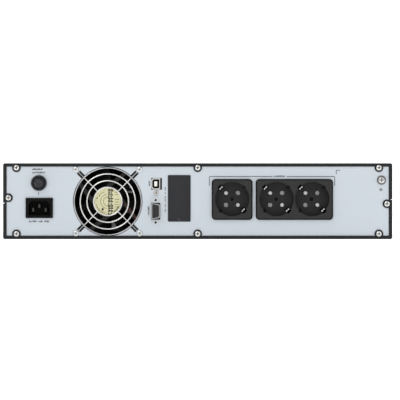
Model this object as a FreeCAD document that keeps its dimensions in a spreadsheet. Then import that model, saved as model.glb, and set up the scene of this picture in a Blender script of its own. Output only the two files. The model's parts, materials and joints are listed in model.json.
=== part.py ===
"""Rackmount uninterruptible power supply, two rack units high, for a 19-inch rack.

Frame: +Z up, the connector panel at the rear faces -Y, the control panel and the
battery drawer at the front face +Y, and +X is to the right of someone who stands
behind the unit. The origin is under the middle of the whole unit, on the plane
that it stands on. Lengths are in millimetres.
"""

import FreeCAD, Part
import math
import os
import re

import Sketcher
from FreeCAD import Vector

SIZES = (
    # Case
    ("case_w", 436, "width over the case's side walls"),
    ("case_z", 85, "height of the case, two rack units less clearance"),
    ("sheet", 1.2, "case steel"),
    ("rear_y", -214, "outer face of the case's rear flange"),
    ("front_y", 199, "front edge of the case, where the bezel starts"),
    ("flange", 3.8, "width of the inward flange round the rear panel"),
    ("bend_r", 2.2, "outer bend radius of the case"),
    ("seam_left_z", 40, "top of the base's left wall"),
    ("seam_right_z", 44, "top of the base's right wall"),
    ("seam_gap", 0.7, "gap between the base and the cover"),
    ("tab_r", 4.85, "radius of a screw tab on the rear flange"),
    ("corner_screw_x", 203, "corner screws of the rear panel, from the middle"),
    ("side_screw_x", 212, "side screws of the rear panel, from the middle"),
    ("top_screw_z", 79.9, "upper row of panel screws"),
    ("bottom_screw_z", 5.9, "lower row of panel screws"),
    ("left_screw_z", 46.3, "side screw in the cover's flange"),
    ("right_screw_z", 39.5, "side screw in the base's flange"),
    ("screw_hole_r", 1.6, "hole for an M3 screw"),
    ("fit_gap", 0.1, "gap round a piece that fits in a hole"),
    ("vent_y", 20, "first side vent"),
    ("vent_w", 3, "width of a side vent"),
    ("vent_tall", 20, "height of a side vent"),
    ("vent_row", 104, "length of a row of side vents, between first and last"),
    ("vent_base_z", 14, "foot of the lower row of vents"),
    ("vent_cover_z", 50, "foot of the upper row of vents"),
    # Connector panel
    ("panel_edge", 0.3, "gap between the connector panel and the case walls"),
    ("panel_corner_r", 1.5, "corner of the connector panel"),
    ("cutout_gap", 0.2, "gap round a housing in its cutout"),
    ("slot_lap", 2.5, "how far the slot cover laps over the panel"),
    ("outlet_lap", 1.9, "how far an outlet frame laps over the panel"),
    # Circuit breaker
    ("breaker_x", -177.9, "breaker centre"),
    ("breaker_z", 62.8, "breaker centre"),
    ("breaker_nut_r", 8.8, "ring nut"),
    ("breaker_bush_r", 6.5, "threaded bush"),
    ("breaker_button_r", 4.9, "reset button"),
    ("breaker_w", 16, "width of the breaker's body"),
    ("breaker_tall", 28, "height of the breaker's body"),
    ("breaker_end", 34, "rear of the breaker's body, from the rear flange"),
    ("blade_long", 10, "terminal blade"),
    ("blade_t", 0.8, "terminal blade"),
    # Mains inlet
    ("inlet_x", -177.4, "inlet centre"),
    ("inlet_z", 34.85, "inlet centre"),
    ("inlet_w", 30.5, "flange width"),
    ("inlet_tall", 22.6, "flange height"),
    ("inlet_body_w", 26.8, "width of the housing behind the flange"),
    ("inlet_body_tall", 19.4, "height of the housing behind the flange"),
    ("inlet_half_w", 12, "half the width of the cavity"),
    ("inlet_half_tall", 8.2, "half the height of the cavity"),
    ("inlet_chamfer", 4, "slanted upper corners of the cavity"),
    ("inlet_floor", 15.5, "floor of the cavity, from the rear flange"),
    ("inlet_end", 24, "rear of the housing, from the rear flange"),
    ("pin_half_w", 1, "half the width of an inlet blade"),
    ("pin_half_tall", 2, "half the height of an inlet blade"),
    ("pin_gap", 0.05, "gap round an inlet blade"),
    # Fan
    ("fan_x", -100.8, "fan axis"),
    ("fan_z", 42.2, "fan axis"),
    ("fan_side", 80, "side of the fan's frame"),
    ("fan_deep", 25, "depth of the fan's frame"),
    ("fan_bore_r", 38.2, "air bore of the fan"),
    ("fan_pitch", 35.75, "fan screw, from the axis, both ways"),
    ("fan_hole_r", 39, "opening in the panel"),
    ("fan_corner_r", 3.5, "corner of the fan's frame"),
    ("fan_relief_r", 3.6, "relief in the case's flange round a fan screw"),
    ("fan_screw_hole_r", 2.3, "hole in the panel for a fan screw"),
    ("fan_thread_r", 2.2, "hole in the fan's frame for a fan screw"),
    ("notch_reach", 46.5, "end of a diagonal notch, from the axis"),
    ("notch_w", 5.3, "width of a diagonal notch"),
    ("wire_r", 0.8, "wire of the finger guard's rings"),
    ("spoke_r", 0.6, "wire of the finger guard's spokes"),
    ("loop_r", 3.4, "end loop of the finger guard"),
    ("guard_inner_r", 15.8, "smallest ring of the finger guard"),
    ("strut_half", 2.2, "half the width of a fan strut"),
    ("strut_long", 27.2, "length of a fan strut"),
    ("lead_r", 0.55, "insulation of a fan wire"),
    ("hub_r", 17.4, "fixed hub of the fan"),
    ("hub_start", 0.4, "outer face of hub and struts, from the frame's face"),
    ("hub_end", 3, "inner face of hub and struts, from the frame's face"),
    ("boss_r", 4, "bearing boss"),
    ("boss_end", 15, "end of the bearing boss, from the frame's face"),
    ("shaft_r", 1.5, "fan shaft"),
    ("stator_r", 13.4, "stator"),
    ("rotor_r", 16.2, "rotor's cup"),
    ("rotor_wall", 1.4, "wall of the rotor's cup"),
    ("rotor_start", 4, "open end of the rotor's cup, from the frame's face"),
    ("rotor_end", 23, "closed end of the rotor's cup, from the frame's face"),
    ("rotor_floor", 2.5, "closed end of the rotor's cup"),
    ("blade_tip_r", 36.6, "flat tip of a blade, from the axis"),
    # Communication ports
    ("usb_x", -47.05, "centre of the USB socket's shell"),
    ("usb_z", 61.9, "centre of the USB socket"),
    ("usb_half_w", 5, "half the width of the USB shell"),
    ("usb_half_tall", 6.4, "half the height of the USB shell"),
    ("usb_right_gap", 2.05, "gap between the USB shell and its cutout, at the right"),
    ("serial_x", -47.05, "centre of the serial connector"),
    ("serial_z", 31.2, "centre of the serial connector"),
    ("jack_pitch", 24.99, "distance between the two jack nuts"),
    ("jack_r", 1.4, "threaded hole of a jack nut"),
    ("jack_clear_r", 1.8, "hole in the panel for a jack nut"),
    ("jack_out", 4.6, "length of a jack nut in front of the panel"),
    ("contact_hole_r", 0.85, "contact hole of the serial connector"),
    ("contact_pitch", 2.76, "distance between contacts in a row"),
    ("contact_rows", 2.84, "distance between the two rows of contacts"),
    ("port_screw_x", -46.4, "screw between the ports"),
    ("port_screw_z", 51.7, "screw between the ports"),
    # Card slot
    ("slot_left", -33.4, "slot cover"),
    ("slot_right", -7.9, "slot cover"),
    ("slot_low", 19.5, "slot cover"),
    ("slot_high", 71.7, "slot cover"),
    ("slot_step", 0.3, "slot cover behind the case's rear flange"),
    ("slot_screw_up", 2.6, "slot cover's screw above its lower edge"),
    ("slot_hole_r", 1.3, "hole for the slot cover's screw"),
    ("cage_deep", 96, "depth of the card cage"),
    # Outlets
    ("outlet_low", 21.5, "bottom of the outlet frames"),
    ("outlet_high", 67.2, "top of the outlet frames"),
    ("single_left", 15.8, "single outlet frame"),
    ("single_right", 61.4, "single outlet frame"),
    ("double_left", 65.1, "double outlet frame"),
    ("double_right", 151.5, "double outlet frame"),
    ("socket_a", 38.6, "first socket's axis"),
    ("socket_b", 88.3, "second socket's axis"),
    ("socket_c", 128.0, "third socket's axis"),
    ("socket_z", 44.9, "axis of the sockets"),
    ("well_r", 19.3, "radius of a socket's well"),
    ("well_deep", 17.5, "depth of a socket's well"),
    ("outlet_proud", 4.5, "outlet frame in front of the panel"),
    ("outlet_back", 36, "outlet housing behind the panel"),
    ("pin_pitch", 19, "distance between the two power pins"),
    ("pin_hole_r", 2.5, "hole for a power pin"),
    ("pin_deep", 21, "depth of a pin's way, behind the well's floor"),
    ("entry_deep", 2.4, "thickness of the well's floor round a pin's way"),
    ("way_r", 3.0, "widening of a pin's way behind the floor, for the contact"),
    ("contact_r", 2.2, "bore of a contact, which springs open round a pin"),
    # Ground terminal
    ("ground_x", 205.9, "ground terminal"),
    ("ground_z", 66.1, "ground terminal"),
    # Rack ears
    ("ear_w", 482.6, "width over the rack ears"),
    ("ear_t", 2.0, "ear steel"),
    ("ear_back_y", 150, "rear end of an ear's leg"),
    ("ear_slot_x", 232.55, "ear slot, from the middle"),
    ("ear_slot_pitch", 44.45, "height between an ear's slots"),
    ("ear_slot_w", 6.8, "slot width"),
    ("ear_slot_long", 10, "slot length"),
    ("ear_edge", 1, "an ear's upper and lower edges, inside the case's height"),
    ("ear_corner_r", 4, "corner of an ear"),
    ("ear_hole_r", 1.7, "hole for an ear's screw"),
    # Front
    ("bezel_y", 221.5, "front face of the bezel"),
    ("bezel_wall", 2.4, "wall of the bezel"),
    ("bay_left", 36, "battery bay, inner side"),
    ("bay_right", 212, "battery bay, outer side"),
    ("bay_low", 6, "drawer opening in the bezel"),
    ("bay_high", 79, "drawer opening in the bezel"),
    ("bay_back_y", -20, "rear wall of the battery bay"),
    ("drawer_gap", 0.6, "gap round the drawer's face"),
    ("tray_low", 6.9, "underside of the drawer's tray"),
    ("drawer_screw_in", 6, "drawer screw, from the side of the bay"),
    ("drawer_screw_z", 42.5, "drawer screws"),
    ("battery_w", 151, "battery block"),
    ("battery_deep", 94, "battery block"),
    ("battery_tall", 65, "battery block"),
    ("window_x", -118, "middle of the display window"),
    ("window_z", 47, "middle of the display window"),
    ("window_w", 70, "display window"),
    ("window_tall", 36, "display window"),
    ("power_x", -50, "power button"),
    ("power_z", 50, "power button"),
    ("power_r", 8, "power button"),
    ("menu_a_x", -134, "first menu button"),
    ("menu_b_x", -102, "second menu button"),
    ("menu_z", 17, "menu buttons"),
    ("button_gap", 0.35, "running gap round a button"),
    # Electronics
    ("board_left", -206, "main board"),
    ("board_right", -62, "main board"),
    ("board_back", -172, "main board"),
    ("board_front", 120, "main board"),
    ("board_z", 9.2, "underside of the main board"),
    ("board_t", 1.6, "main board"),
    ("core_x", -8, "transformer's middle"),
    ("core_y", -62, "transformer's middle"),
    ("core_half", 22, "half the depth of the transformer's core"),
)

# Head radius, head height, shank radius, length and half the cross recess.
SCREW_SIZES = {
    "panel_screw": (3.3, 2.0, 1.5, 8, 1.9),
    "ear_screw": (3.2, 1.9, 1.5, 6, 1.8),
    "ground_screw": (4.1, 3.2, 2.5, 12, 2.3),
    "fan_screw": (3.4, 1.6, 2.1, 9, 1.8),
    "port_screw": (2.9, 1.7, 1.5, 5, 1.6),
    "slot_screw": (2.0, 0.9, 1.2, 5, 1.1),
    "drawer_screw": (3.2, 1.4, 1.5, 30, 2),
}
SCREW_PARTS = ("head_r", "head_t", "shank_r", "length", "recess")
SIZES += tuple((f"{screw}_{part}", value, f"{screw} {part}".replace("_", " "))
               for screw, values in SCREW_SIZES.items()
               for part, value in zip(SCREW_PARTS, values))

SIZE = {name: value for name, value, meaning in SIZES}
PLANES = {"x": "YZ_Plane", "y": "XZ_Plane", "z": "XY_Plane"}
DIAGONALS = ((1, 1), (-1, 1), (-1, -1), (1, -1))

doc = FreeCAD.newDocument("RackUps")
nodes = []


# ---------------------------------------------------------------- helpers

def write_sheet():
    """Put every driving size in the spreadsheet, one row each."""
    table = doc.addObject("Spreadsheet::Sheet", "Sizes")
    for row, (name, value, meaning) in enumerate(SIZES, 1):
        table.set(f"A{row}", meaning)
        table.set(f"B{row}", str(value))
        table.setAlias(f"B{row}", name)
    doc.recompute()


def bound(text):
    """Return an expression with the sheet's name put before each size in it."""
    return re.sub(r"\b[a-z]\w*\b(?!\()", r"Sizes.\g<0>", str(text))


def new_body(label):
    """Start a named body."""
    body = doc.addObject("PartDesign::Body", label)
    body.Label = label
    return body


def keep(piece, label):
    """Make a finished object one of the unit's sub-parts."""
    piece.Label = label
    nodes.append(piece)
    return piece


def flat_sketch(body, across, level):
    """A sketch square to one axis, at a level along it."""
    sketch = body.newObject("Sketcher::SketchObject", body.Label + "_sketch")
    plane = [item for item in body.Origin.OriginFeatures if item.Role == PLANES[across]]
    sketch.AttachmentSupport = [(plane[0], "")]
    sketch.MapMode = "FlatFace"
    sign = "-" if across == "y" else ""
    sketch.setExpression("AttachmentOffset.Base.z", f"{sign}({bound(level)}) * 1mm")
    return sketch


def tie(sketch, kind, first, second, value):
    """Add a constraint and bind it to the sheet."""
    number = sketch.addConstraint(Sketcher.Constraint(kind, *first, *second, 1.0))
    sketch.setExpression(f"Constraints[{number}]", bound(value))


def draw(sketch, shape):
    """Draw a circle (x, y, r), a rectangle (x0, y0, x1, y1) or a list of corners."""
    if isinstance(shape, tuple) and len(shape) == 3:
        circle = sketch.addGeometry(Part.Circle(Vector(0, 0, 0), Vector(0, 0, 1), 1), False)
        tie(sketch, "DistanceX", (-1, 1), (circle, 3), shape[0])
        tie(sketch, "DistanceY", (-1, 1), (circle, 3), shape[1])
        radius = sketch.addConstraint(Sketcher.Constraint("Radius", circle, 1.0))
        sketch.setExpression(f"Constraints[{radius}]", bound(shape[2]))
        return
    if isinstance(shape, tuple):
        left, low, right, high = shape
        shape = [(left, low), (right, low), (right, high), (left, high)]
    count = len(shape)
    first = sketch.GeometryCount
    start = [FreeCAD.Rotation(360.0 * n / count, 0, 0).multVec(Vector(10, 0, 0))
             for n in range(count)]
    for n in range(count):
        sketch.addGeometry(Part.LineSegment(start[n], start[(n + 1) % count]), False)
    for n in range(count):
        after = first + (n + 1) % count
        sketch.addConstraint(Sketcher.Constraint("Coincident", first + n, 2, after, 1))
    for n, (x, y) in enumerate(shape):
        tie(sketch, "DistanceX", (-1, 1), (first + n, 1), x)
        tie(sketch, "DistanceY", (-1, 1), (first + n, 1), y)


def slab(body, across, low, high, *shapes):
    """Add material between two levels along an axis."""
    sketch = flat_sketch(body, across, high if across == "y" else low)
    for shape in shapes:
        draw(sketch, shape)
    pad = body.newObject("PartDesign::Pad", body.Label + "_pad")
    pad.Profile = sketch
    pad.setExpression("Length", bound(f"({high}) - ({low})"))
    return pad


def cut(body, across, low, high, *shapes):
    """Remove material between two levels along an axis."""
    doc.recompute()
    before = body.Shape.Volume
    sketch = flat_sketch(body, across, low if across == "y" else high)
    for shape in shapes:
        draw(sketch, shape)
    pocket = body.newObject("PartDesign::Pocket", body.Label + "_pocket")
    pocket.Profile = sketch
    pocket.setExpression("Length", bound(f"({high}) - ({low})"))
    doc.recompute()
    if body.Shape.Volume >= before:
        raise ValueError(f"a cut in {body.Label} removes nothing")
    return pocket


def turned(body, points, centre_x="0", centre_z="0"):
    """Turn an outline of (radius, y) corners about an axis along Y."""
    sketch = flat_sketch(body, "z", "0")
    draw(sketch, [(radius, y) for radius, y in points])
    turn = body.newObject("PartDesign::Revolution", body.Label + "_turn")
    turn.Profile = sketch
    turn.ReferenceAxis = (sketch, ["V_Axis"])
    turn.Angle = 360
    place(body, centre_x, "0", centre_z)
    return turn


def box_round(x, z, half_w, half_tall):
    """A rectangle round its centre."""
    return (f"{x} - ({half_w})", f"{z} - ({half_tall})", f"{x} + ({half_w})", f"{z} + ({half_tall})")


def place(piece, x, y, z):
    """Bind the place of an object."""
    for letter, value in zip("xyz", (x, y, z)):
        piece.setExpression(f"Placement.Base.{letter}", f"({bound(value)}) * 1mm")


def ease(body, kind, across, size, spots=None):
    """Fillet or chamfer the straight edges along an axis, at given spots or all."""
    doc.recompute()
    tip = body.Tip
    names = []
    for number, edge in enumerate(tip.Shape.Edges, 1):
        if edge.Curve.TypeId != "Part::GeomLine":
            continue
        way = edge.Curve.Direction
        if abs(getattr(way, across)) < 0.999:
            continue
        middle = edge.CenterOfMass
        flat = [getattr(middle, letter) for letter in "xyz" if letter != across]
        if spots and all(abs(flat[0] - a) + abs(flat[1] - b) > 0.05 for a, b in spots):
            continue
        names.append(f"Edge{number}")
    feature = body.newObject("PartDesign::" + kind, body.Label + "_edge")
    feature.Base = (tip, names)
    feature.setExpression("Radius" if kind == "Fillet" else "Size", bound(size))
    return feature


def rim(body, kind, level, size, across="y"):
    """Fillet or chamfer every edge that lies flat at one level along an axis."""
    doc.recompute()
    tip = body.Tip
    names = []
    for number, edge in enumerate(tip.Shape.Edges, 1):
        box = edge.BoundBox
        low = getattr(box, across.upper() + "Min")
        high = getattr(box, across.upper() + "Max")
        if abs(low - level) < 0.01 and abs(high - level) < 0.01:
            names.append(f"Edge{number}")
    feature = body.newObject("PartDesign::" + kind, body.Label + "_rim")
    feature.Base = (tip, names)
    feature.setExpression("Radius" if kind == "Fillet" else "Size", bound(size))
    return feature


def pattern_line(body, feature, axis, length, count):
    """Repeat a feature along one of the body's axes."""
    line = [item for item in body.Origin.OriginFeatures if item.Role == axis]
    repeat = body.newObject("PartDesign::LinearPattern", body.Label + "_row")
    repeat.Originals = [feature]
    repeat.Direction = (line[0], [""])
    repeat.setExpression("Length", bound(length))
    repeat.Occurrences = count
    body.Tip = repeat
    return repeat


def pattern_turn(body, feature, count):
    """Repeat a feature round the body's own Y axis."""
    line = [item for item in body.Origin.OriginFeatures if item.Role == "Y_Axis"]
    repeat = body.newObject("PartDesign::PolarPattern", body.Label + "_ring")
    repeat.Originals = [feature]
    repeat.Axis = (line[0], [""])
    repeat.Angle = 360
    repeat.Occurrences = count
    body.Tip = repeat
    return repeat


def copies(label, body, places):
    """One node of equal solids: linked copies of a body at several places."""
    links = []
    for x, y, z in places:
        link = doc.addObject("App::Link", label + "_copy")
        link.LinkedObject = body
        place(link, x, y, z)
        links.append(link)
    group = doc.addObject("Part::Compound", label)
    group.Links = links
    return keep(group, label)


def group(label, parts):
    """One node of several separate solids."""
    compound = doc.addObject("Part::Compound", label)
    compound.Links = parts
    return keep(compound, label)


def cylinder(label, radius, length, x, y, z):
    """A cylinder along Y that starts at a point."""
    rod = doc.addObject("Part::Cylinder", label)
    rod.setExpression("Radius", bound(radius))
    rod.setExpression("Height", bound(length))
    rod.Placement.Rotation = FreeCAD.Rotation(Vector(1, 0, 0), -90)
    place(rod, x, y, z)
    return rod


# ---------------------------------------------------------------- case

PANEL_OUT = "rear_y + sheet"
PANEL_IN = "rear_y + 2 * sheet"
BAY_MIDDLE = "(bay_left + bay_right) / 2"
BASE_SCREWS = (("-corner_screw_x", "bottom_screw_z"), ("0", "bottom_screw_z"),
               ("corner_screw_x", "bottom_screw_z"), ("side_screw_x", "right_screw_z"))
COVER_SCREWS = (("-corner_screw_x", "top_screw_z"), ("0", "top_screw_z"),
                ("corner_screw_x", "top_screw_z"), ("-side_screw_x", "left_screw_z"))
EAR_SCREW_SPOTS = (("160", "14"), ("186", "14"), ("160", "71"), ("186", "71"))
VENT_COUNT = 14


def channel(inset, left_end, right_end, floor):
    """A U-shaped outline round the case, from one side wall to the other."""
    inner = f"{floor} + {inset}" if floor == "0" else f"{floor} - {inset}"
    return [("-case_w / 2", floor), ("case_w / 2", floor), ("case_w / 2", right_end),
            (f"case_w / 2 - {inset}", right_end), (f"case_w / 2 - {inset}", inner),
            (f"-case_w / 2 + {inset}", inner), (f"-case_w / 2 + {inset}", left_end),
            ("-case_w / 2", left_end)]


def case_shell(label, left_end, right_end, floor, screws):
    """Half of the case: a folded channel with a rear flange and screw tabs."""
    body = new_body(label)
    slab(body, "y", "rear_y", "front_y", channel("sheet", left_end, right_end, floor))
    slab(body, "y", "rear_y", PANEL_OUT, channel("flange", left_end, right_end, floor))
    side = SIZE["case_w"] / 2
    level = 0 if floor == "0" else SIZE["case_z"]
    ease(body, "Fillet", "y", "bend_r", [(side, level), (-side, level)])
    for x, z in screws:
        slab(body, "y", "rear_y", PANEL_OUT, (x, z, "tab_r"))
    cut(body, "y", "rear_y", PANEL_OUT, *[(x, z, "screw_hole_r") for x, z in screws])
    way = -1 if floor == "0" else 1
    for side in (-1, 1):
        cut(body, "y", "rear_y", PANEL_OUT,
            (f"fan_x + {side} * fan_pitch", f"fan_z + {way} * fan_pitch", "fan_relief_r"))
    return body


def vent_rows(body, low, walls):
    """A row of upright vent slots in each side wall, near the front."""
    for near, far in walls:
        slot = cut(body, "x", near, far,
                   ("vent_y", low, "vent_y + vent_w", f"{low} + vent_tall"))
        pattern_line(body, slot, "Y_Axis", "vent_row", VENT_COUNT)


def make_case():
    """The base, the cover and the connector panel between their rear flanges."""
    base = case_shell("chassis_base", "seam_left_z", "seam_right_z", "0", BASE_SCREWS)
    walls = (("case_w / 2 - sheet", "case_w / 2"), ("-case_w / 2", "-case_w / 2 + sheet"))
    for near, far in walls:
        cut(base, "x", near, far, *[(y, z, "screw_hole_r") for y, z in EAR_SCREW_SPOTS[:2]])
    vent_rows(base, "vent_base_z", walls)
    keep(base, "chassis_base")
    cover = case_shell("top_cover", "seam_left_z + seam_gap", "seam_right_z + seam_gap",
                       "case_z", COVER_SCREWS)
    for near, far in walls:
        cut(cover, "x", near, far, *[(y, z, "screw_hole_r") for y, z in EAR_SCREW_SPOTS[2:]])
    vent_rows(cover, "vent_cover_z", walls)
    keep(cover, "top_cover")


def diagonal_bar(way):
    """The outline of a slot through the fan's axis, along one diagonal."""
    reach = "notch_reach * sqrt(0.5)"
    half = "notch_w / 2 * sqrt(0.5)"
    return [(f"fan_x + {way} * ({a} * {reach} - {b} * {half})",
             f"fan_z + {a} * {reach} + {b} * {half}")
            for a, b in ((1, 1), (-1, 1), (-1, -1), (1, -1))]


def make_panel():
    """The connector panel: one flat plate pierced for everything on it."""
    panel = new_body("rear_panel")
    edge = "case_w / 2 - sheet - panel_edge"
    slab(panel, "y", PANEL_OUT, PANEL_IN,
         (f"-({edge})", "sheet + panel_edge", edge, "case_z - sheet - panel_edge"))
    ease(panel, "Fillet", "y", "panel_corner_r")
    screws = [(x, z, "screw_hole_r") for x, z in BASE_SCREWS + COVER_SCREWS]
    corners = [(f"fan_x + {a} * fan_pitch", f"fan_z + {b} * fan_pitch", "fan_screw_hole_r")
               for a, b in DIAGONALS]
    cut(panel, "y", PANEL_OUT, PANEL_IN, *screws, *corners,
        ("breaker_x", "breaker_z", "breaker_bush_r + fit_gap"),
        ("ground_x", "ground_z", "ground_screw_shank_r + fit_gap"),
        ("port_screw_x", "port_screw_z", "screw_hole_r"))
    cut(panel, "y", PANEL_OUT, PANEL_IN, ("fan_x", "fan_z", "fan_hole_r"))
    cut(panel, "y", PANEL_OUT, PANEL_IN, diagonal_bar(1))
    cut(panel, "y", PANEL_OUT, PANEL_IN, diagonal_bar(-1))
    cut(panel, "y", PANEL_OUT, PANEL_IN,
        box_round("inlet_x", "inlet_z", "inlet_body_w / 2 + cutout_gap",
                  "inlet_body_tall / 2 + cutout_gap"),
        ("usb_x - usb_half_w - 0.05", "usb_z - usb_half_tall - cutout_gap",
         "usb_x + usb_half_w + usb_right_gap", "usb_z + usb_half_tall + cutout_gap"),
        box_round("serial_x", "serial_z", "5.05", "9.4"),
        ("slot_left + slot_lap", "slot_low + 2 * slot_lap",
         "slot_right - slot_lap", "slot_high - slot_lap"),
        ("single_left + outlet_lap", "outlet_low + outlet_lap",
         "single_right - outlet_lap", "outlet_high - outlet_lap"),
        ("double_left + outlet_lap", "outlet_low + outlet_lap",
         "double_right - outlet_lap", "outlet_high - outlet_lap"))
    cut(panel, "y", PANEL_OUT, PANEL_IN,
        ("serial_x", "serial_z + jack_pitch / 2", "jack_clear_r"),
        ("serial_x", "serial_z - jack_pitch / 2", "jack_clear_r"),
        ("(slot_left + slot_right) / 2", "slot_low + slot_screw_up", "slot_hole_r"))
    keep(panel, "rear_panel")


def screw_body(kind):
    """A pan-head screw along Y with a cross recess; its head is towards -Y."""
    head_r, head_t, shank_r, length, recess = [f"{kind}_{part}" for part in SCREW_PARTS]
    body = new_body(f"{kind}_body")
    turned(body, [("0", f"-({head_t})"), (f"({head_r}) * 0.55", f"-({head_t})"),
                  (f"({head_r}) * 0.88", f"-({head_t}) * 0.72"),
                  (head_r, f"-({head_t}) * 0.25"), (head_r, "0"), (shank_r, "0"),
                  (shank_r, length), ("0", length)])
    thin = f"({recess}) * 0.26"
    for wide, tall in ((recess, thin), (thin, recess)):
        cut(body, "y", f"-({head_t})", f"-({head_t}) * 0.35",
            (f"-({wide})", f"-({tall})", wide, tall))
    return body


def make_panel_screws():
    """Eight equal screws through the tabs of the case into the panel."""
    screw = screw_body("panel_screw")
    places = [(x, "rear_y", z) for x, z in BASE_SCREWS + COVER_SCREWS]
    copies("rear_panel_screws", screw, places)


def make_ears():
    """Two folded rack ears with the screws that hold them to the side walls."""
    for side, label in ((-1, "rack_ear_left"), (1, "rack_ear_right")):
        ear = new_body(label)
        wall = f"{side} * case_w / 2"
        leg = f"{side} * (case_w / 2 + ear_t)"
        tip = f"{side} * ear_w / 2"
        slab(ear, "z", "ear_edge", "case_z - ear_edge",
             [(wall, "ear_back_y"), (leg, "ear_back_y"), (leg, "front_y - ear_t"),
              (tip, "front_y - ear_t"), (tip, "front_y"), (wall, "front_y")])
        ease(ear, "Fillet", "z", "ear_t - 0.2", [(side * SIZE["case_w"] / 2, SIZE["front_y"])])
        ease(ear, "Fillet", "y", "ear_corner_r",
             [(side * SIZE["ear_w"] / 2, SIZE["ear_edge"]),
              (side * SIZE["ear_w"] / 2, SIZE["case_z"] - SIZE["ear_edge"])])
        for way in (1, -1):
            level = f"case_z / 2 + {way} * ear_slot_pitch / 2"
            half = "(ear_slot_long - ear_slot_w) / 2"
            spot = f"{side} * ear_slot_x"
            cut(ear, "y", "front_y - ear_t", "front_y",
                (f"{spot} - ({half})", f"{level} - ear_slot_w / 2",
                 f"{spot} + {half}", f"{level} + ear_slot_w / 2"))
            for end in (-1, 1):
                cut(ear, "y", "front_y - ear_t", "front_y",
                    (f"{spot} + {end} * {half}", level, "ear_slot_w / 2"))
        low, high = (wall, leg) if side > 0 else (leg, wall)
        cut(ear, "x", low, high, *[(y, z, "ear_hole_r") for y, z in EAR_SCREW_SPOTS])
        keep(ear, label)
    screw = screw_body("ear_screw")
    links = []
    for side in (-1, 1):
        for y, z in EAR_SCREW_SPOTS:
            link = doc.addObject("App::Link", "ear_screw_copy")
            link.LinkedObject = screw
            link.Placement.Rotation = FreeCAD.Rotation(Vector(0, 0, 1), 90 * side)
            place(link, f"{side} * (case_w / 2 + ear_t)", y, z)
            links.append(link)
    group("ear_screws", links)


# ---------------------------------------------------------------- inlet, breaker, ground

def make_breaker():
    """A push-to-reset breaker: body with a threaded bush, ring nut and button."""
    body = new_body("breaker_body")
    end = "rear_y + breaker_end"
    slab(body, "y", PANEL_IN, end,
         box_round("breaker_x", "breaker_z", "breaker_w / 2", "breaker_tall / 2"))
    slab(body, "y", "rear_y - 1.2", PANEL_IN, ("breaker_x", "breaker_z", "breaker_bush_r"))
    cut(body, "y", "rear_y - 1.2", "rear_y + 14",
        ("breaker_x", "breaker_z", "breaker_button_r + fit_gap"))
    for way in (-1, 1):
        slab(body, "y", end, f"{end} + blade_long",
             box_round("breaker_x", f"breaker_z + {way} * breaker_tall / 4", "blade_t / 2", "3"))
    keep(body, "breaker_body")
    nut = new_body("breaker_nut")
    turned(nut, [("breaker_bush_r + 0.05", "rear_y - 2.8"), ("7", "rear_y - 3.4"),
                 ("8", "rear_y - 3.4"), ("breaker_nut_r", "rear_y - 2.4"),
                 ("breaker_nut_r", PANEL_OUT), ("breaker_bush_r + 0.05", PANEL_OUT)],
           "breaker_x", "breaker_z")
    notch = cut(nut, "y", "rear_y - 3.4", "rear_y - 0.6",
                ("breaker_nut_r - 0.7", "-0.5", "breaker_nut_r + 1", "0.5"))
    pattern_turn(nut, notch, 18)
    keep(nut, "breaker_nut")
    button = new_body("breaker_button")
    turned(button, [("0", "rear_y - 8.2"), ("2.6", "rear_y - 8.4"), ("3.5", "rear_y - 9"),
                    ("breaker_button_r - 0.4", "rear_y - 8.8"), ("breaker_button_r", "rear_y - 8"),
                    ("breaker_button_r", "rear_y + 12"), ("0", "rear_y + 12")],
           "breaker_x", "breaker_z")
    keep(button, "breaker_button")


def make_inlet():
    """A three-pin mains inlet with its contact blades."""
    body = new_body("inlet_housing")
    face = "rear_y - 1.3"
    slab(body, "y", face, PANEL_OUT,
         box_round("inlet_x", "inlet_z", "inlet_w / 2", "inlet_tall / 2"))
    ease(body, "Fillet", "y", "0.5")
    slab(body, "y", PANEL_OUT, "rear_y + inlet_end",
         box_round("inlet_x", "inlet_z", "inlet_body_w / 2", "inlet_body_tall / 2"))
    left, right = "inlet_x - inlet_half_w", "inlet_x + inlet_half_w"
    low, high = "inlet_z - inlet_half_tall", "inlet_z + inlet_half_tall"
    cut(body, "y", face, "rear_y + inlet_floor",
        [(left, low), (right, low), (right, f"{high} - inlet_chamfer"),
         (f"{right} - inlet_chamfer", high), (f"{left} + inlet_chamfer", high),
         (left, f"{high} - inlet_chamfer")])
    blades = (("0", "2.3"), ("-7", "-2"), ("7", "-2"))
    cut(body, "y", "rear_y + inlet_floor", "rear_y + inlet_end",
        *[box_round(f"inlet_x + {x}", f"inlet_z + {z}", "pin_half_w + pin_gap", "pin_half_tall + pin_gap")
          for x, z in blades])
    keep(body, "inlet_housing")
    pins = []
    for number, (x, z) in enumerate(blades):
        pin = new_body(f"inlet_pin_{number}")
        start = "rear_y + 0.5" if number == 0 else "rear_y + 2.5"
        slab(pin, "y", start, "rear_y + inlet_end + blade_long",
             box_round(f"inlet_x + {x}", f"inlet_z + {z}", "pin_half_w", "pin_half_tall"))
        pins.append(pin)
    group("inlet_pins", pins)


def make_ground():
    """The ground terminal: a screw with a captive washer."""
    body = screw_body("ground_screw")
    slab(body, "y", "0", "1", ("0", "0", "5.2"))
    place(body, "ground_x", "rear_y + sheet - 1", "ground_z")
    keep(body, "ground_screw")


# ---------------------------------------------------------------- fan

STRUT_START = Vector(0, 16.5, 0)
STRUT_WAY = Vector(0.79, 0.61, 0).normalize()
STRUT_ACROSS = Vector(-STRUT_WAY.y, STRUT_WAY.x, 0)
LEAD_STRUT = 3


def strut_spot(turn, along, side):
    """Where a point of a slanted strut is, sideways and up from the fan's axis."""
    spot = STRUT_START + STRUT_WAY * along + STRUT_ACROSS * side
    return FreeCAD.Rotation(90 * turn, 0, 0).multVec(spot)


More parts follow.
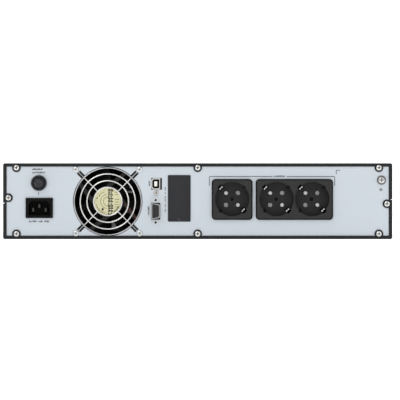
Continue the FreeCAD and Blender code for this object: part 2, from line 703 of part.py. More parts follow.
def strut_outline(turn, begin, end, half):
    """The outline of a stretch of a strut, as corners bound to the fan's axis."""
    spots = [strut_spot(turn, along, side) for along, side in
             ((begin, -half), (end, -half), (end, half), (begin, half))]
    return [(f"fan_x + ({spot.x:.5f})", f"fan_z + ({spot.y:.5f})") for spot in spots]


def make_fan():
    """An axial fan that blows out through a wire finger guard."""
    near = "rear_y + 2 * sheet + 2 * wire_r"
    far = f"{near} + fan_deep"
    frame = new_body("fan_frame")
    hub = (f"{near} + hub_start", f"{near} + hub_end")
    slab(frame, "y", near, far, box_round("fan_x", "fan_z", "fan_side / 2", "fan_side / 2"))
    ease(frame, "Fillet", "y", "fan_corner_r")
    cut(frame, "y", near, far, ("fan_x", "fan_z", "fan_bore_r"))
    cut(frame, "y", near, far,
        *[(f"fan_x + {a} * fan_pitch", f"fan_z + {b} * fan_pitch", "fan_thread_r")
          for a, b in DIAGONALS])
    slab(frame, "y", *hub, ("fan_x", "fan_z", "hub_r"))
    for turn in range(4):
        slab(frame, "y", *hub, strut_outline(turn, -3, SIZE["strut_long"], SIZE["strut_half"]))
    cut(frame, "y", *hub, strut_outline(LEAD_STRUT, 2.3, 3.7, 1.4))
    slab(frame, "y", f"{near} + hub_end", f"{near} + boss_end", ("fan_x", "fan_z", "boss_r"))
    cut(frame, "y", f"{near} + 2", f"{near} + boss_end", ("fan_x", "fan_z", "shaft_r + fit_gap"))
    keep(frame, "fan_frame")

    stator = new_body("fan_stator")
    core = (f"{near} + rotor_start", f"{near} + boss_end - 1")
    slab(stator, "y", *core, ("fan_x", "fan_z", "stator_r"))
    cut(stator, "y", *core, ("fan_x", "fan_z", "boss_r + 0.05"))
    keep(stator, "fan_stator")

    rotor = new_body("fan_rotor")
    floor = "rotor_end - rotor_floor"
    slab(rotor, "y", "rotor_start", "rotor_end", ("0", "0", "rotor_r"))
    cut(rotor, "y", "rotor_start", floor, ("0", "0", "rotor_r - rotor_wall"))
    cut(rotor, "y", floor, "rotor_end", ("0", "0", "shaft_r"))
    rim(rotor, "Fillet", SIZE["rotor_end"], "rotor_wall")
    blade = slab(rotor, "x", "rotor_r - 0.8", "blade_tip_r",
                 [("4.6", "-8.6"), ("6.2", "-9.4"), ("21.4", "6.4"), ("20.6", "8")])
    pattern_turn(rotor, blade, 7)
    place(rotor, "fan_x", near, "fan_z")
    keep(rotor, "fan_rotor")
    shaft = cylinder("fan_shaft", "shaft_r", "20.2", "fan_x", f"{near} + 2.6", "fan_z")
    keep(shaft, "fan_shaft")

    screw = screw_body("fan_screw")
    copies("fan_screws", screw, [(f"fan_x + {a} * fan_pitch", PANEL_OUT, f"fan_z + {b} * fan_pitch")
                                 for a, b in DIAGONALS])


def bent_wire(label, points, bends, radius):
    """A wire of round section: straight runs joined by arcs that touch them."""
    edges = []
    start = points[0]
    for before, corner, after, bend in zip(points, points[1:], points[2:], bends):
        arriving = (corner - before).normalize()
        leaving = (after - corner).normalize()
        half = arriving.getAngle(leaving) / 2
        first = corner - arriving * (bend * math.tan(half))
        last = corner + leaving * (bend * math.tan(half))
        inward = (leaving - arriving).normalize()
        middle = corner + inward * (bend / math.cos(half) - bend)
        edges.append(Part.LineSegment(start, first).toShape())
        edges.append(Part.Arc(first, middle, last).toShape())
        start = last
    edges.append(Part.LineSegment(start, points[-1]).toShape())
    section = Part.Circle(points[0], points[1] - points[0], radius).toShape()
    solid = Part.Wire(edges).makePipeShell([Part.Wire([section])], True, True)
    length = sum(edge.Length for edge in edges)
    expected = math.pi * radius ** 2 * length
    if abs(solid.Volume / expected - 1) > 0.01:
        raise ValueError(f"{label} has the wrong volume")
    wire = doc.addObject("Part::Feature", label)
    wire.Shape = solid
    return wire


def make_fan_lead():
    """Two wires up through a strut, along it, round the frame and to the main board."""
    inner = SIZE["rear_y"] + 2 * SIZE["sheet"]
    near = inner + 2 * SIZE["wire_r"]
    level = near - SIZE["lead_r"] - 0.15
    strut_back = near + 3
    frame_end = near + SIZE["fan_deep"]
    header = Vector(-64, -158, 14)
    along = 42.6
    wires = []
    for number, side in enumerate((-0.65, 0.65)):
        begin = strut_spot(LEAD_STRUT, 3, side)
        corner = strut_spot(LEAD_STRUT, along, side)
        offset = strut_spot(LEAD_STRUT, along, side) - strut_spot(LEAD_STRUT, along, 0)
        points = [Vector(SIZE["fan_x"] + begin.x, strut_back, SIZE["fan_z"] + begin.y),
                  Vector(SIZE["fan_x"] + begin.x, level, SIZE["fan_z"] + begin.y),
                  Vector(SIZE["fan_x"] + corner.x, level, SIZE["fan_z"] + corner.y),
                  Vector(SIZE["fan_x"] + corner.x, frame_end + 3, SIZE["fan_z"] + corner.y),
                  Vector(header.x + offset.x, header.y - 14, header.z + offset.y),
                  Vector(header.x + offset.x, header.y, header.z + offset.y)]
        wires.append(bent_wire(f"fan_wire_{number}", points, (1.2, 3, 4, 4), SIZE["lead_r"]))
    group("fan_lead", wires)


def make_guard():
    """The finger guard: wire rings welded on four diagonal wires with end loops."""
    wires = []
    back = "rear_y + 2 * sheet + wire_r"
    weld = "0.93 * (wire_r + spoke_r)"
    for number, radius in enumerate((SIZE["guard_inner_r"], 23.3, 30.9, 37.7)):
        ring = doc.addObject("Part::Torus", f"guard_ring_{number}")
        ring.Radius1 = radius
        ring.setExpression("Radius2", "Sizes.wire_r * 1mm")
        ring.Placement.Rotation = FreeCAD.Rotation(Vector(1, 0, 0), 90)
        place(ring, "fan_x", f"{back} - {weld}", "fan_z")
        wires.append(ring)
    for number, (a, b) in enumerate(DIAGONALS):
        way = Vector(a, 0, b).normalize()
        spoke = doc.addObject("Part::Cylinder", f"guard_spoke_{number}")
        spoke.setExpression("Radius", "Sizes.spoke_r * 1mm")
        spoke.setExpression("Height", bound("(fan_pitch * sqrt(2) - loop_r - guard_inner_r)") + " * 1mm")
        spoke.Placement.Rotation = FreeCAD.Rotation(Vector(0, 0, 1), way)
        place(spoke, f"fan_x + {way.x} * guard_inner_r", back, f"fan_z + {way.z} * guard_inner_r")
        wires.append(spoke)
        loop = doc.addObject("Part::Torus", f"guard_loop_{number}")
        loop.setExpression("Radius1", "Sizes.loop_r * 1mm")
        loop.setExpression("Radius2", "Sizes.wire_r * 1mm")
        loop.Placement.Rotation = FreeCAD.Rotation(Vector(1, 0, 0), 90)
        place(loop, f"fan_x + {a} * fan_pitch", back, f"fan_z + {b} * fan_pitch")
        wires.append(loop)
    guard = doc.addObject("Part::MultiFuse", "fan_guard")
    guard.Shapes = wires
    doc.recompute()
    if len(guard.Shape.Solids) != 1:
        raise ValueError("the wires of the finger guard don't all meet")
    keep(guard, "fan_guard")


# ---------------------------------------------------------------- ports and card slot

def make_usb():
    """The square USB socket: metal shell and the tongue that carries the contacts."""
    shell = new_body("usb_shell")
    out = "rear_y + 0.4"
    left, right = "usb_x - usb_half_w", "usb_x + usb_half_w"
    low, high = "usb_z - usb_half_tall", "usb_z + usb_half_tall"
    slab(shell, "y", out, "rear_y + 16",
         [(f"{left} + 2.2", low), (right, low), (right, high),
          (f"{left} + 2.2", high), (left, f"{high} - 2.2"), (left, f"{low} + 2.2")])
    cut(shell, "y", out, "rear_y + 11",
        [("usb_x - 2.2", "usb_z - 5"), ("usb_x + 3.9", "usb_z - 5"), ("usb_x + 3.9", "usb_z + 5"),
         ("usb_x - 2.2", "usb_z + 5"), ("usb_x - 3.8", "usb_z + 3.4"), ("usb_x - 3.8", "usb_z - 3.4")])
    keep(shell, "usb_shell")
    tongue = new_body("usb_tongue")
    slab(tongue, "y", f"{out} + 1.2", "rear_y + 11",
         ("usb_x - 1.6", "usb_z - 2.8", "usb_x + 1.7", "usb_z + 2.8"))
    keep(tongue, "usb_tongue")


# Half the width and half the height of each D outline.
SERIAL_SHELL = (4.8, 9.0)
SERIAL_BORE = (3.9, 8.1)
SERIAL_INSERT = (3.8, 8.0)


def d_outline(half_w, half_tall):
    """The D outline of the serial connector: one long side taller than the other."""
    low, high = half_tall - 2.4, half_tall - 0.8
    side = half_w - 1.1
    rows = ((-half_w, -high), (-side, -half_tall), (side, -low - 1.1), (half_w, -low),
            (half_w, low), (side, low + 1.1), (-side, half_tall), (-half_w, high))
    return [(f"serial_x + ({x:.2f})", f"serial_z + ({z:.2f})") for x, z in rows]


def make_serial():
    """The nine-way serial connector, its shell, insert and jack nuts."""
    shell = new_body("serial_shell")
    out = "rear_y - 3.6"
    slab(shell, "y", out, "rear_y + 3.6", d_outline(*SERIAL_SHELL))
    slab(shell, "y", PANEL_IN, "rear_y + 4.4",
         ("serial_x - 6.2", "serial_z - 15.4", "serial_x + 6.2", "serial_z + 15.4"))
    cut(shell, "y", out, "rear_y + 4.4", d_outline(*SERIAL_BORE))
    cut(shell, "y", PANEL_IN, "rear_y + 4.4",
        ("serial_x", "serial_z + jack_pitch / 2", "screw_hole_r"),
        ("serial_x", "serial_z - jack_pitch / 2", "screw_hole_r"))
    keep(shell, "serial_shell")
    insert = new_body("serial_insert")
    slab(insert, "y", f"{out} + 0.6", "rear_y + 12", d_outline(*SERIAL_INSERT))
    contacts = [("serial_x - contact_rows / 2", f"serial_z + {n} * contact_pitch", "contact_hole_r")
                for n in (-2, -1, 0, 1, 2)]
    contacts += [("serial_x + contact_rows / 2", f"serial_z + {n} * contact_pitch", "contact_hole_r")
                 for n in (-1.5, -0.5, 0.5, 1.5)]
    cut(insert, "y", f"{out} + 0.6", "rear_y + 8", *contacts)
    keep(insert, "serial_insert")
    nut = new_body("jack_nut")
    hexagon = [("2.9", "0"), ("1.45", "2.5"), ("-1.45", "2.5"), ("-2.9", "0"),
               ("-1.45", "-2.5"), ("1.45", "-2.5")]
    slab(nut, "y", "-jack_out", "0", hexagon)
    slab(nut, "y", "0", "5", ("0", "0", "1.5"))
    cut(nut, "y", "-jack_out", "-0.5", ("0", "0", "jack_r"))
    copies("serial_jack_nuts", nut, [("serial_x", PANEL_OUT, f"serial_z + {way} * jack_pitch / 2")
                                     for way in (-1, 1)])


def make_comm_board():
    """The board that carries both ports, held by one screw at the panel."""
    board = new_body("comm_board")
    slab(board, "x", "usb_x + 8.2", "usb_x + 9.8",
         ("rear_y + 3.4", "16", "rear_y + 62", "74"))
    slab(board, "x", "usb_x + 5.1", "usb_x + 8.2",
         ("rear_y + 9", "usb_z - 6", "rear_y + 15", "usb_z + 6"))
    keep(board, "comm_board")
    screw = screw_body("port_screw")
    copies("port_screw", screw, [("port_screw_x", PANEL_OUT, "port_screw_z")])


def make_slot():
    """The cover over the empty card slot and the sheet-metal cage behind it."""
    cover = new_body("slot_cover")
    face = "rear_y + slot_step"
    screw_spot = ("(slot_left + slot_right) / 2", "slot_low + slot_screw_up")
    slab(cover, "y", face, PANEL_OUT, ("slot_left", "slot_low", "slot_right", "slot_high"))
    ease(cover, "Fillet", "y", "1.2")
    cut(cover, "y", face, PANEL_OUT, (*screw_spot, "slot_hole_r"))
    keep(cover, "slot_cover")
    screw = screw_body("slot_screw")
    copies("slot_screw", screw, [(screw_spot[0], face, screw_spot[1])])
    cage = new_body("card_cage")
    end = "rear_y + 2 * sheet + cage_deep"
    slab(cage, "y", PANEL_IN, end,
         ("slot_left + 1.2", "slot_low + 4.2", "slot_right - 1.2", "slot_high - 1.7"))
    cut(cage, "y", PANEL_IN, f"{end} - 1",
        ("slot_left + 2.2", "slot_low + 5.2", "slot_right - 2.2", "slot_high - 2.7"))
    for level in ("slot_low + 20", "slot_low + 32"):
        groove = cut(cage, "x", "slot_right - 2.2", "slot_right - 1.2",
                     ("rear_y + 14", level, "rear_y + 22", f"{level} + 6"))
        pattern_line(cage, groove, "Y_Axis", "60", 5)
    keep(cage, "card_cage")


# ---------------------------------------------------------------- outlets

def outlet_housing(label, left, right, sockets):
    """A moulded outlet block with one round well for each socket."""
    body = new_body(label)
    face = "rear_y + sheet - outlet_proud"
    back = "rear_y + 2 * sheet + outlet_back"
    inset = "outlet_lap + cutout_gap"
    slab(body, "y", face, PANEL_OUT, (left, "outlet_low", right, "outlet_high"))
    ease(body, "Fillet", "y", "4")
    rim(body, "Chamfer", SIZE["rear_y"] + SIZE["sheet"] - SIZE["outlet_proud"], "1.3")
    slab(body, "y", PANEL_OUT, back,
         (f"{left} + {inset}", f"outlet_low + {inset}", f"{right} - ({inset})",
          f"outlet_high - ({inset})"))
    floor = f"{face} + well_deep"
    cut(body, "y", face, floor, *[(x, "socket_z", "well_r") for x in sockets])
    pin = "pin_pitch / 2 * sqrt(0.5)"
    holes = []
    for x in sockets:
        for way in (-1, 1):
            holes.append((f"{x} + {way} * {pin}", f"socket_z + {way} * {pin}"))
    cut(body, "y", floor, f"{floor} + entry_deep", *[(x, z, "pin_hole_r") for x, z in holes])
    cut(body, "y", f"{floor} + entry_deep", f"{back} - 2", *[(x, z, "way_r") for x, z in holes])
    rivets = []
    for x in sockets:
        for way in (-1, 1):
            rivets.append((f"{x} - {way} * {pin}", f"socket_z + {way} * {pin}", "1.55"))
        rivets.append((x, "socket_z", "2.2"))
    cut(body, "y", floor, f"{floor} + 6", *rivets)
    for x in sockets:
        for way in (-1, 1):
            cut(body, "y", face, f"{floor} + 7",
                diagonal_slot(x, -way, way, "14.9", "well_r + 1.7", "2.6"))
            cut(body, "y", face, f"{floor} + 3",
                diagonal_slot(x, way, way, "well_r - 2.4", "well_r + 1.1", "1.5"))
    return keep(body, label)


def diagonal_slot(x, across, up, near, far, half):
    """A slot outline along one diagonal of a socket, between two radii."""
    return [(f"{x} + ({across} * ({radius}) - {up * side} * ({half})) * sqrt(0.5)",
             f"socket_z + ({up} * ({radius}) + {across * side} * ({half})) * sqrt(0.5)")
            for radius, side in ((near, 1), (far, 1), (far, -1), (near, -1))]


def make_outlets():
    """Three earthed sockets turned by 45 degrees, one on its own and a pair."""
    outlet_housing("outlet_housing_single", "single_left", "single_right", ("socket_a",))
    outlet_housing("outlet_housing_double", "double_left", "double_right",
                   ("socket_b", "socket_c"))
    sockets = ("socket_a", "socket_b", "socket_c")
    pin = "pin_pitch / 2 * sqrt(0.5)"
    floor = "rear_y + sheet - outlet_proud + well_deep"
    tube = new_body("outlet_contact")
    outer, bottom = "way_r - fit_gap", "pin_deep - entry_deep"
    turned(tube, [("contact_r", "0"), (outer, "0"), (outer, f"{bottom} + 0.6"),
                  ("0", f"{bottom} + 0.6"), ("0", bottom), ("contact_r", bottom)])
    spots = []
    for x in sockets:
        for way in (-1, 1):
            spots.append((f"{x} + {way} * {pin}", f"{floor} + entry_deep", f"socket_z + {way} * {pin}"))
    copies("outlet_contacts", tube, spots)
    rivet = new_body("outlet_rivet")
    turned(rivet, [("0", "-0.7"), ("1.9", "-0.7"), ("2.4", "-0.3"), ("2.4", "0"), ("1.5", "0"),
                   ("1.5", "5.5"), ("0", "5.5")])
    spots = []
    for x in sockets:
        for way in (-1, 1):
            spots.append((f"{x} - {way} * {pin}", floor, f"socket_z + {way} * {pin}"))
    copies("outlet_rivets", rivet, spots)
    make_earth_clips(sockets, floor)


def make_earth_clips(sockets, floor):
    """Forked earth springs, one at each end of a socket's other diagonal."""
    clip = new_body("earth_clip")
    slab(clip, "z", "-2.1", "2.1", ("0.5", "-6.5", "1.4", "3"))
    for low, high in (("-2.1", "-0.4"), ("0.4", "2.1")):
        slab(clip, "z", low, high,
             [("0.5", "-6"), ("0.5", "-14.6"), ("-0.1", "-15.9"), ("-1", "-13.6"), ("0.1", "-10"),
              ("-0.6", "-9.8"), ("-1.9", "-13.7"), ("-0.3", "-17.3"), ("0.6", "-17.3"),
              ("1.4", "-15.4"), ("1.4", "-6")])
    links = []
    for x in sockets:
        for way in (-1, 1):
            link = doc.addObject("App::Link", "earth_clip_copy")
            link.LinkedObject = clip
            angle = 135 if way > 0 else -45
            link.Placement.Rotation = FreeCAD.Rotation(Vector(0, 1, 0), -angle)
            spot = "(well_r - 1.9) * sqrt(0.5)"
            place(link, f"{x} - {way} * {spot}", f"{floor} + 3", f"socket_z + {way} * {spot}")
            links.append(link)
    group("outlet_earth_clips", links)


# ---------------------------------------------------------------- electronics

def make_boards():
    """The main board on its standoffs, with the parts that stand on it."""
    board = new_body("main_board")
    slab(board, "z", "board_z", "board_z + board_t",
         ("board_left", "board_back", "board_right", "board_front"))
    posts = [(x, y) for x in ("board_left + 6", "board_right - 6")
             for y in ("board_back + 6", "(board_back + board_front) / 2", "board_front - 6")]
    cut(board, "z", "board_z", "board_z + board_t", *[(x, y, "1.7") for x, y in posts])
    slab(board, "z", "board_z + board_t", "17", ("-66.5", "-158", "-62.5", "-150"))
    keep(board, "main_board")
    post = new_body("standoff")
    slab(post, "z", "sheet", "board_z", ("0", "0", "3.2"))
    slab(post, "z", "board_z", "board_z + board_t + 0.1", ("0", "0", "1.6"))
    slab(post, "z", "board_z + board_t + 0.1", "board_z + board_t + 2", ("0", "0", "3"))
    copies("board_standoffs", post, [(x, y, "0") for x, y in posts])
    sink = new_body("heatsink")
    slab(sink, "x", "-2", "2", ("-70", "board_z + board_t", "70", "62"))
    fin = slab(sink, "z", "18", "20", ("2", "-70", "18", "70"))
    pattern_line(sink, fin, "Z_Axis", "40", 8)
    copies("heatsinks", sink, [("-188", "-90", "0"), ("-96", "-90", "0")])
    transistor = new_body("power_transistor")
    slab(transistor, "x", "-4.8", "0", ("-8", "20", "8", "42"))
    cut(transistor, "x", "-4.8", "0", ("0", "37", "1.7"))
    for y in (-5.4, 0, 5.4):
        slab(transistor, "x", "-2.8", "-2.0", (f"{y - 0.5}", "board_z + board_t", f"{y + 0.5}", "20"))
    rows = [(x, str(y), "0") for x in ("-190", "-98") for y in (-140, -115, -90, -65, -40)]
    copies("power_transistors", transistor, rows)
    can = new_body("capacitor")
    slab(can, "z", "board_z + board_t", "55", ("0", "0", "12.5"))
    rim(can, "Fillet", 55, "1.5", "z")
    copies("capacitors", can, [(str(x), str(y), "0") for x in (-190, -161, -132) for y in (15, 44)])
    relay = new_body("relay")
    slab(relay, "z", "board_z + board_t", "27", ("-14.5", "-6.3", "14.5", "6.3"))
    ease(relay, "Fillet", "z", "0.8")
    copies("relays", relay, [("-85", str(y), "0") for y in (0, 18, 36, 54)])


def make_transformer():
    """The laminated transformer, its winding and the bracket that holds it."""
    core = new_body("transformer_core")
    slab(core, "y", "core_y - core_half", "core_y + core_half", ("core_x - 42", "5", "core_x + 42", "75"))
    windows = [(f"core_x + {a}", "19", f"core_x + {b}", "61") for a, b in ((-28, -14), (14, 28))]
    cut(core, "y", "core_y - core_half", "core_y + core_half", *windows)
    keep(core, "transformer_core")
    coil = new_body("transformer_winding")
    slab(coil, "z", "19.6", "60.4", ("core_x - 27", "core_y - 35", "core_x + 27", "core_y + 35"))
    ease(coil, "Fillet", "z", "8")
    cut(coil, "z", "19.6", "60.4",
        ("core_x - 14.2", "core_y - 22.3", "core_x + 14.2", "core_y + 22.3"))
    keep(coil, "transformer_winding")
    bracket = new_body("transformer_bracket")
    slab(bracket, "y", "core_y - core_half", "core_y + core_half",
         [("core_x - 56", "sheet"), ("core_x + 50", "sheet"), ("core_x + 50", "3"),
          ("core_x + 44", "3"), ("core_x + 44", "78"), ("core_x - 44", "78"),
          ("core_x - 44", "3"), ("core_x - 56", "3")])
    cut(bracket, "y", "core_y - core_half", "core_y + core_half",
        ("core_x - 42.2", "3", "core_x + 42.2", "76"))
    keep(bracket, "transformer_bracket")


# ---------------------------------------------------------------- battery bay and drawer

def make_bay():
    """The folded battery bay, its rails and the fixed half of its connector."""
    bay = new_body("battery_bay")
    back = "bay_back_y"
    left, right = "bay_left", "bay_right"
    slab(bay, "z", "sheet", "82",
         [(f"{left} - 1.2", "front_y - 3"), (f"{left} - 1.2", f"{back} - 1.2"),
          (f"{right} + 1.2", f"{back} - 1.2"), (f"{right} + 1.2", "front_y - 3"),
          (right, "front_y - 3"), (right, back), (left, back), (left, "front_y - 3")])
    cut(bay, "y", f"{back} - 1.2", back, ("112", "28", "142", "46"))
    vent = cut(bay, "x", f"{left} - 1.2", left, ("20", "20", "24", "64"))
    pattern_line(bay, vent, "Y_Axis", "150", 16)
    slab(bay, "y", "front_y - 5", "front_y - 3.8",
         (left, "32", f"{left} + 10", "53"), (f"{right} - 10", "32", right, "53"))
    cut(bay, "y", "front_y - 5", "front_y - 3.8",
        (f"{left} + drawer_screw_in", "drawer_screw_z", "1.6"),
        (f"{right} - drawer_screw_in", "drawer_screw_z", "1.6"))
    keep(bay, "battery_bay")
    rail = new_body("bay_rail")
    slab(rail, "z", "sheet", "tray_low - 0.05", ("-8", f"{back} + 12", "8", "front_y - 6"))
    copies("bay_rails", rail, [(f"{left} + 30", "0", "0"), (f"{right} - 30", "0", "0")])
    socket = new_body("bay_socket")
    slab(socket, "y", f"{back} - 18", f"{back} + 9", ("112.2", "28.2", "141.8", "45.8"))
    slab(socket, "y", f"{back} - 4", f"{back} - 1.2", ("108", "25", "146", "49"))
    cut(socket, "y", f"{back} - 6", f"{back} + 9", ("114.5", "30.5", "139.5", "43.5"))
    for x in (120, 127, 134):
        slab(socket, "y", f"{back} - 6", f"{back} + 7", (str(x), "37", "1.5"))
    keep(socket, "bay_socket")


def make_tray():
    """The sheet-metal tray that carries the batteries."""
    tray = new_body("drawer_tray")
    left, right = f"{BAY_MIDDLE} - battery_w / 2 - 1.5", f"{BAY_MIDDLE} + battery_w / 2 + 1.5"
    back = "bay_back_y + 11"
    slab(tray, "y", back, "front_y + 1", (left, "tray_low", right, "73"))
    cut(tray, "y", f"{back} + 1.2", "front_y + 1",
        (f"{left} + 1.2", "tray_low + 1.2", f"{right} - 1.2", "73"))
    slot = cut(tray, "z", "tray_low", "tray_low + 1.2", (f"{left} + 40", "20", f"{right} - 40", "26"))
    pattern_line(tray, slot, "Y_Axis", "150", 9)
    cut(tray, "y", back, f"{back} + 1.2", ("112", "28", "142", "46"))
    keep(tray, "drawer_tray")


def make_drawer_face():
    """The moulded face of the drawer: air slots, a finger pull and two screws."""
    face = new_body("drawer_face")
    back, front = "front_y + 1", "bezel_y"
    skin = "bezel_y - 3"
    slab(face, "y", back, front,
         ("bay_left + drawer_gap", "bay_low + drawer_gap",
          "bay_right - drawer_gap", "bay_high - drawer_gap"))
    ease(face, "Fillet", "y", "2.5")
    rim(face, "Fillet", SIZE["bezel_y"], "1.2")
    cut(face, "y", back, skin,
        ("bay_left + 3.2", "bay_low + 3.2", "bay_right - 3.2", "bay_high - 3.2"))
    slab(face, "y", back, "front_y + 2.2",
         ("bay_left + 3", "bay_low + 3", "bay_left + 16", "bay_high - 3"),
         ("bay_right - 16", "bay_low + 3", "bay_right - 3", "bay_high - 3"))
    cut(face, "y", skin, front,
        *[("bay_left + 24", f"{z}", "bay_right - 24", f"{z + 3.2}") for z in (14, 20.4, 26.8, 33.2)])
    pull_left, pull_right = f"{BAY_MIDDLE} - 38", f"{BAY_MIDDLE} + 38"
    slab(face, "y", "bezel_y - 14", f"{skin} + 0.1", (pull_left, "46", pull_right, "70"))
    cut(face, "y", "bezel_y - 12", front,
        (f"{pull_left} + 2", "48", f"{pull_right} - 2", "68"))
    screws = [("bay_left + drawer_screw_in", "drawer_screw_z", "1.8"),
              ("bay_right - drawer_screw_in", "drawer_screw_z", "1.8")]
    cut(face, "y", skin, front, *screws)
    cut(face, "y", back, "front_y + 2.2", *screws)
    keep(face, "drawer_face")
    screw = screw_body("drawer_screw")
    links = []
    for x in ("bay_left + drawer_screw_in", "bay_right - drawer_screw_in"):
        link = doc.addObject("App::Link", "drawer_screw_copy")
        link.LinkedObject = screw
        link.Placement.Rotation = FreeCAD.Rotation(Vector(0, 0, 1), 180)
        place(link, x, front, "drawer_screw_z")
        links.append(link)
    group("drawer_screws", links)


def make_batteries():
    """Two sealed lead-acid blocks in the tray, a strap over them, and the plug."""
    rear_start = "bay_back_y + 17"
    front_start = f"{rear_start} + battery_deep + 3"
    floor = "tray_low + 1.3"
    blocks = []
    for number, start in enumerate((rear_start, front_start), 1):
        block = new_body(f"battery_{number}")
        slab(block, "y", start, f"{start} + battery_deep",
             (f"{BAY_MIDDLE} - battery_w / 2", floor,
              f"{BAY_MIDDLE} + battery_w / 2", f"{floor} + battery_tall"))
        ease(block, "Fillet", "y", "1.5")
        blocks.append(block)
    group("batteries", blocks)
    strap = new_body("battery_strap")
    side = "(battery_w / 2 + 1.6)"
    top = f"{floor} + battery_tall + 0.1"
    slab(strap, "y", "82", "100",
         [(f"{BAY_MIDDLE} - {side} - 1.2", "66"), (f"{BAY_MIDDLE} - {side}", "66"),
          (f"{BAY_MIDDLE} - {side}", f"{top}"), (f"{BAY_MIDDLE} + {side}", f"{top}"),
          (f"{BAY_MIDDLE} + {side}", "66"), (f"{BAY_MIDDLE} + {side} + 1.2", "66"),
          (f"{BAY_MIDDLE} + {side} + 1.2", f"{top} + 1.2"),
          (f"{BAY_MIDDLE} - {side} - 1.2", f"{top} + 1.2")])
    keep(strap, "battery_strap")
    plug = new_body("drawer_plug")
    slab(plug, "y", "bay_back_y - 4.5", "bay_back_y + 12.2", ("115", "31", "139", "43"))
    slab(plug, "y", "bay_back_y + 12.2", "bay_back_y + 15", ("110", "26.5", "144", "47.5"))
    for x in (120, 127, 134):
        cut(plug, "y", "bay_back_y - 4.5", "bay_back_y + 8", (str(x), "37", "1.75"))
    keep(plug, "drawer_plug")


# ---------------------------------------------------------------- front panel

def make_bezel():
    """The moulded front bezel with openings for the drawer, display and buttons."""
    bezel = new_body("front_bezel")
    half = "case_w / 2"
    slab(bezel, "y", "front_y", "bezel_y", (f"-{half}", "0", half, "case_z"))
    ease(bezel, "Fillet", "y", "3")
    rim(bezel, "Fillet", SIZE["bezel_y"], "2")
    cut(bezel, "y", "front_y", "bezel_y - bezel_wall",
        (f"-{half} + bezel_wall", "bezel_wall", "bay_left - 2.4", "case_z - bezel_wall"))
    cut(bezel, "y", "front_y", "bezel_y", ("bay_left", "bay_low", "bay_right", "bay_high"))
    ease(bezel, "Fillet", "y", "2.5", [(SIZE["bay_left"], SIZE["bay_low"]),
                                       (SIZE["bay_left"], SIZE["bay_high"]),
                                       (SIZE["bay_right"], SIZE["bay_low"]),
                                       (SIZE["bay_right"], SIZE["bay_high"])])
    wall = ("bezel_y - bezel_wall", "bezel_y")
    cut(bezel, "y", *wall, ("window_x - window_w / 2", "window_z - window_tall / 2",
                            "window_x + window_w / 2", "window_z + window_tall / 2"))
    cut(bezel, "y", *wall, ("power_x", "power_z", "power_r + button_gap"),
        *[(x, "menu_z", "4.5 + button_gap") for x in ("menu_a_x", "menu_b_x")])
    slit = cut(bezel, "y", *wall, ("-206", "12", "-203", "73"))
    pattern_line(bezel, slit, "X_Axis", "36", 7)
    slit = cut(bezel, "y", *wall, ("-30", "12", "-27", "73"))
    pattern_line(bezel, slit, "X_Axis", "54", 10)
    keep(bezel, "front_bezel")


def make_display():
    """The display behind its window, and its board."""
    window = new_body("display_window")
    low = "bezel_y - bezel_wall"
    slab(window, "y", low, "bezel_y - 0.4",
         ("window_x - window_w / 2 + 0.1", "window_z - window_tall / 2 + 0.1",
          "window_x + window_w / 2 - 0.1", "window_z + window_tall / 2 - 0.1"))
    keep(window, "display_window")
    lcd = new_body("lcd_module")
    slab(lcd, "y", f"{low} - 7", f"{low} - 0.3",
         box_round("window_x", "window_z", "window_w / 2 + 1", "window_tall / 2 + 1"))
    keep(lcd, "lcd_module")
    board = new_body("display_board")
    slab(board, "y", f"{low} - 9", f"{low} - 7.4", ("-160", "7", "-36", "72"))
    keep(board, "display_board")


def make_buttons():
    """Three sprung push buttons on the front."""
    places = (("power_button", "power_x", "power_z", "power_r"),
              ("menu_button_1", "menu_a_x", "menu_z", "4.5"),
              ("menu_button_2", "menu_b_x", "menu_z", "4.5"))
    for label, x, z, radius in places:
        button = new_body(label)
        turned(button, [("0", "bezel_y + 1.5"), (f"{radius} - 0.8", "bezel_y + 1.5"),
                        (radius, "bezel_y + 0.7"), (radius, "bezel_y - 2.5"),
                        (f"{radius} + 1.2", "bezel_y - 2.5"), (f"{radius} + 1.2", "bezel_y - 3.7"),
                        ("2", "bezel_y - 3.7"), ("2", "bezel_y - 7.4"), ("0", "bezel_y - 7.4")],
               x, z)
        keep(button, label)


# ---------------------------------------------------------------- check and write

def check_all():
    """Stop if any object failed, or if any sub-part has no valid shape."""
    doc.recompute()
    for item in doc.Objects:
        if "Invalid" in item.State or "Error" in item.State:
            raise ValueError(f"{item.Label} did not build: {item.State}")
    for node in nodes:
        if node.Shape.isNull() or not node.Shape.isValid() or not node.Shape.Solids:
            raise ValueError(f"{node.Label} has no valid solid")


def write_all():
    """Write each sub-part to its own file."""
    os.makedirs("parts", exist_ok=True)
    for node in nodes:
        node.Shape.exportStep(f"parts/{node.Label}.step")
        box = node.Shape.BoundBox
        print(f"{node.Label:24s} solids {len(node.Shape.Solids):3d}  "
              f"x {box.XMin:8.2f} {box.XMax:8.2f}  y {box.YMin:8.2f} {box.YMax:8.2f}  "
              f"z {box.ZMin:7.2f} {box.ZMax:7.2f}")


write_sheet()
make_case()
make_panel()
make_panel_screws()
make_ears()
make_breaker()
make_inlet()
make_ground()
make_fan()
make_fan_lead()
make_guard()
make_usb()
make_serial()
make_comm_board()
make_slot()
make_outlets()
make_boards()
make_transformer()
make_bay()
make_tray()
make_drawer_face()
make_batteries()
make_bezel()
make_display()
make_buttons()
check_all()
write_all()
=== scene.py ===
import json
import math
import random

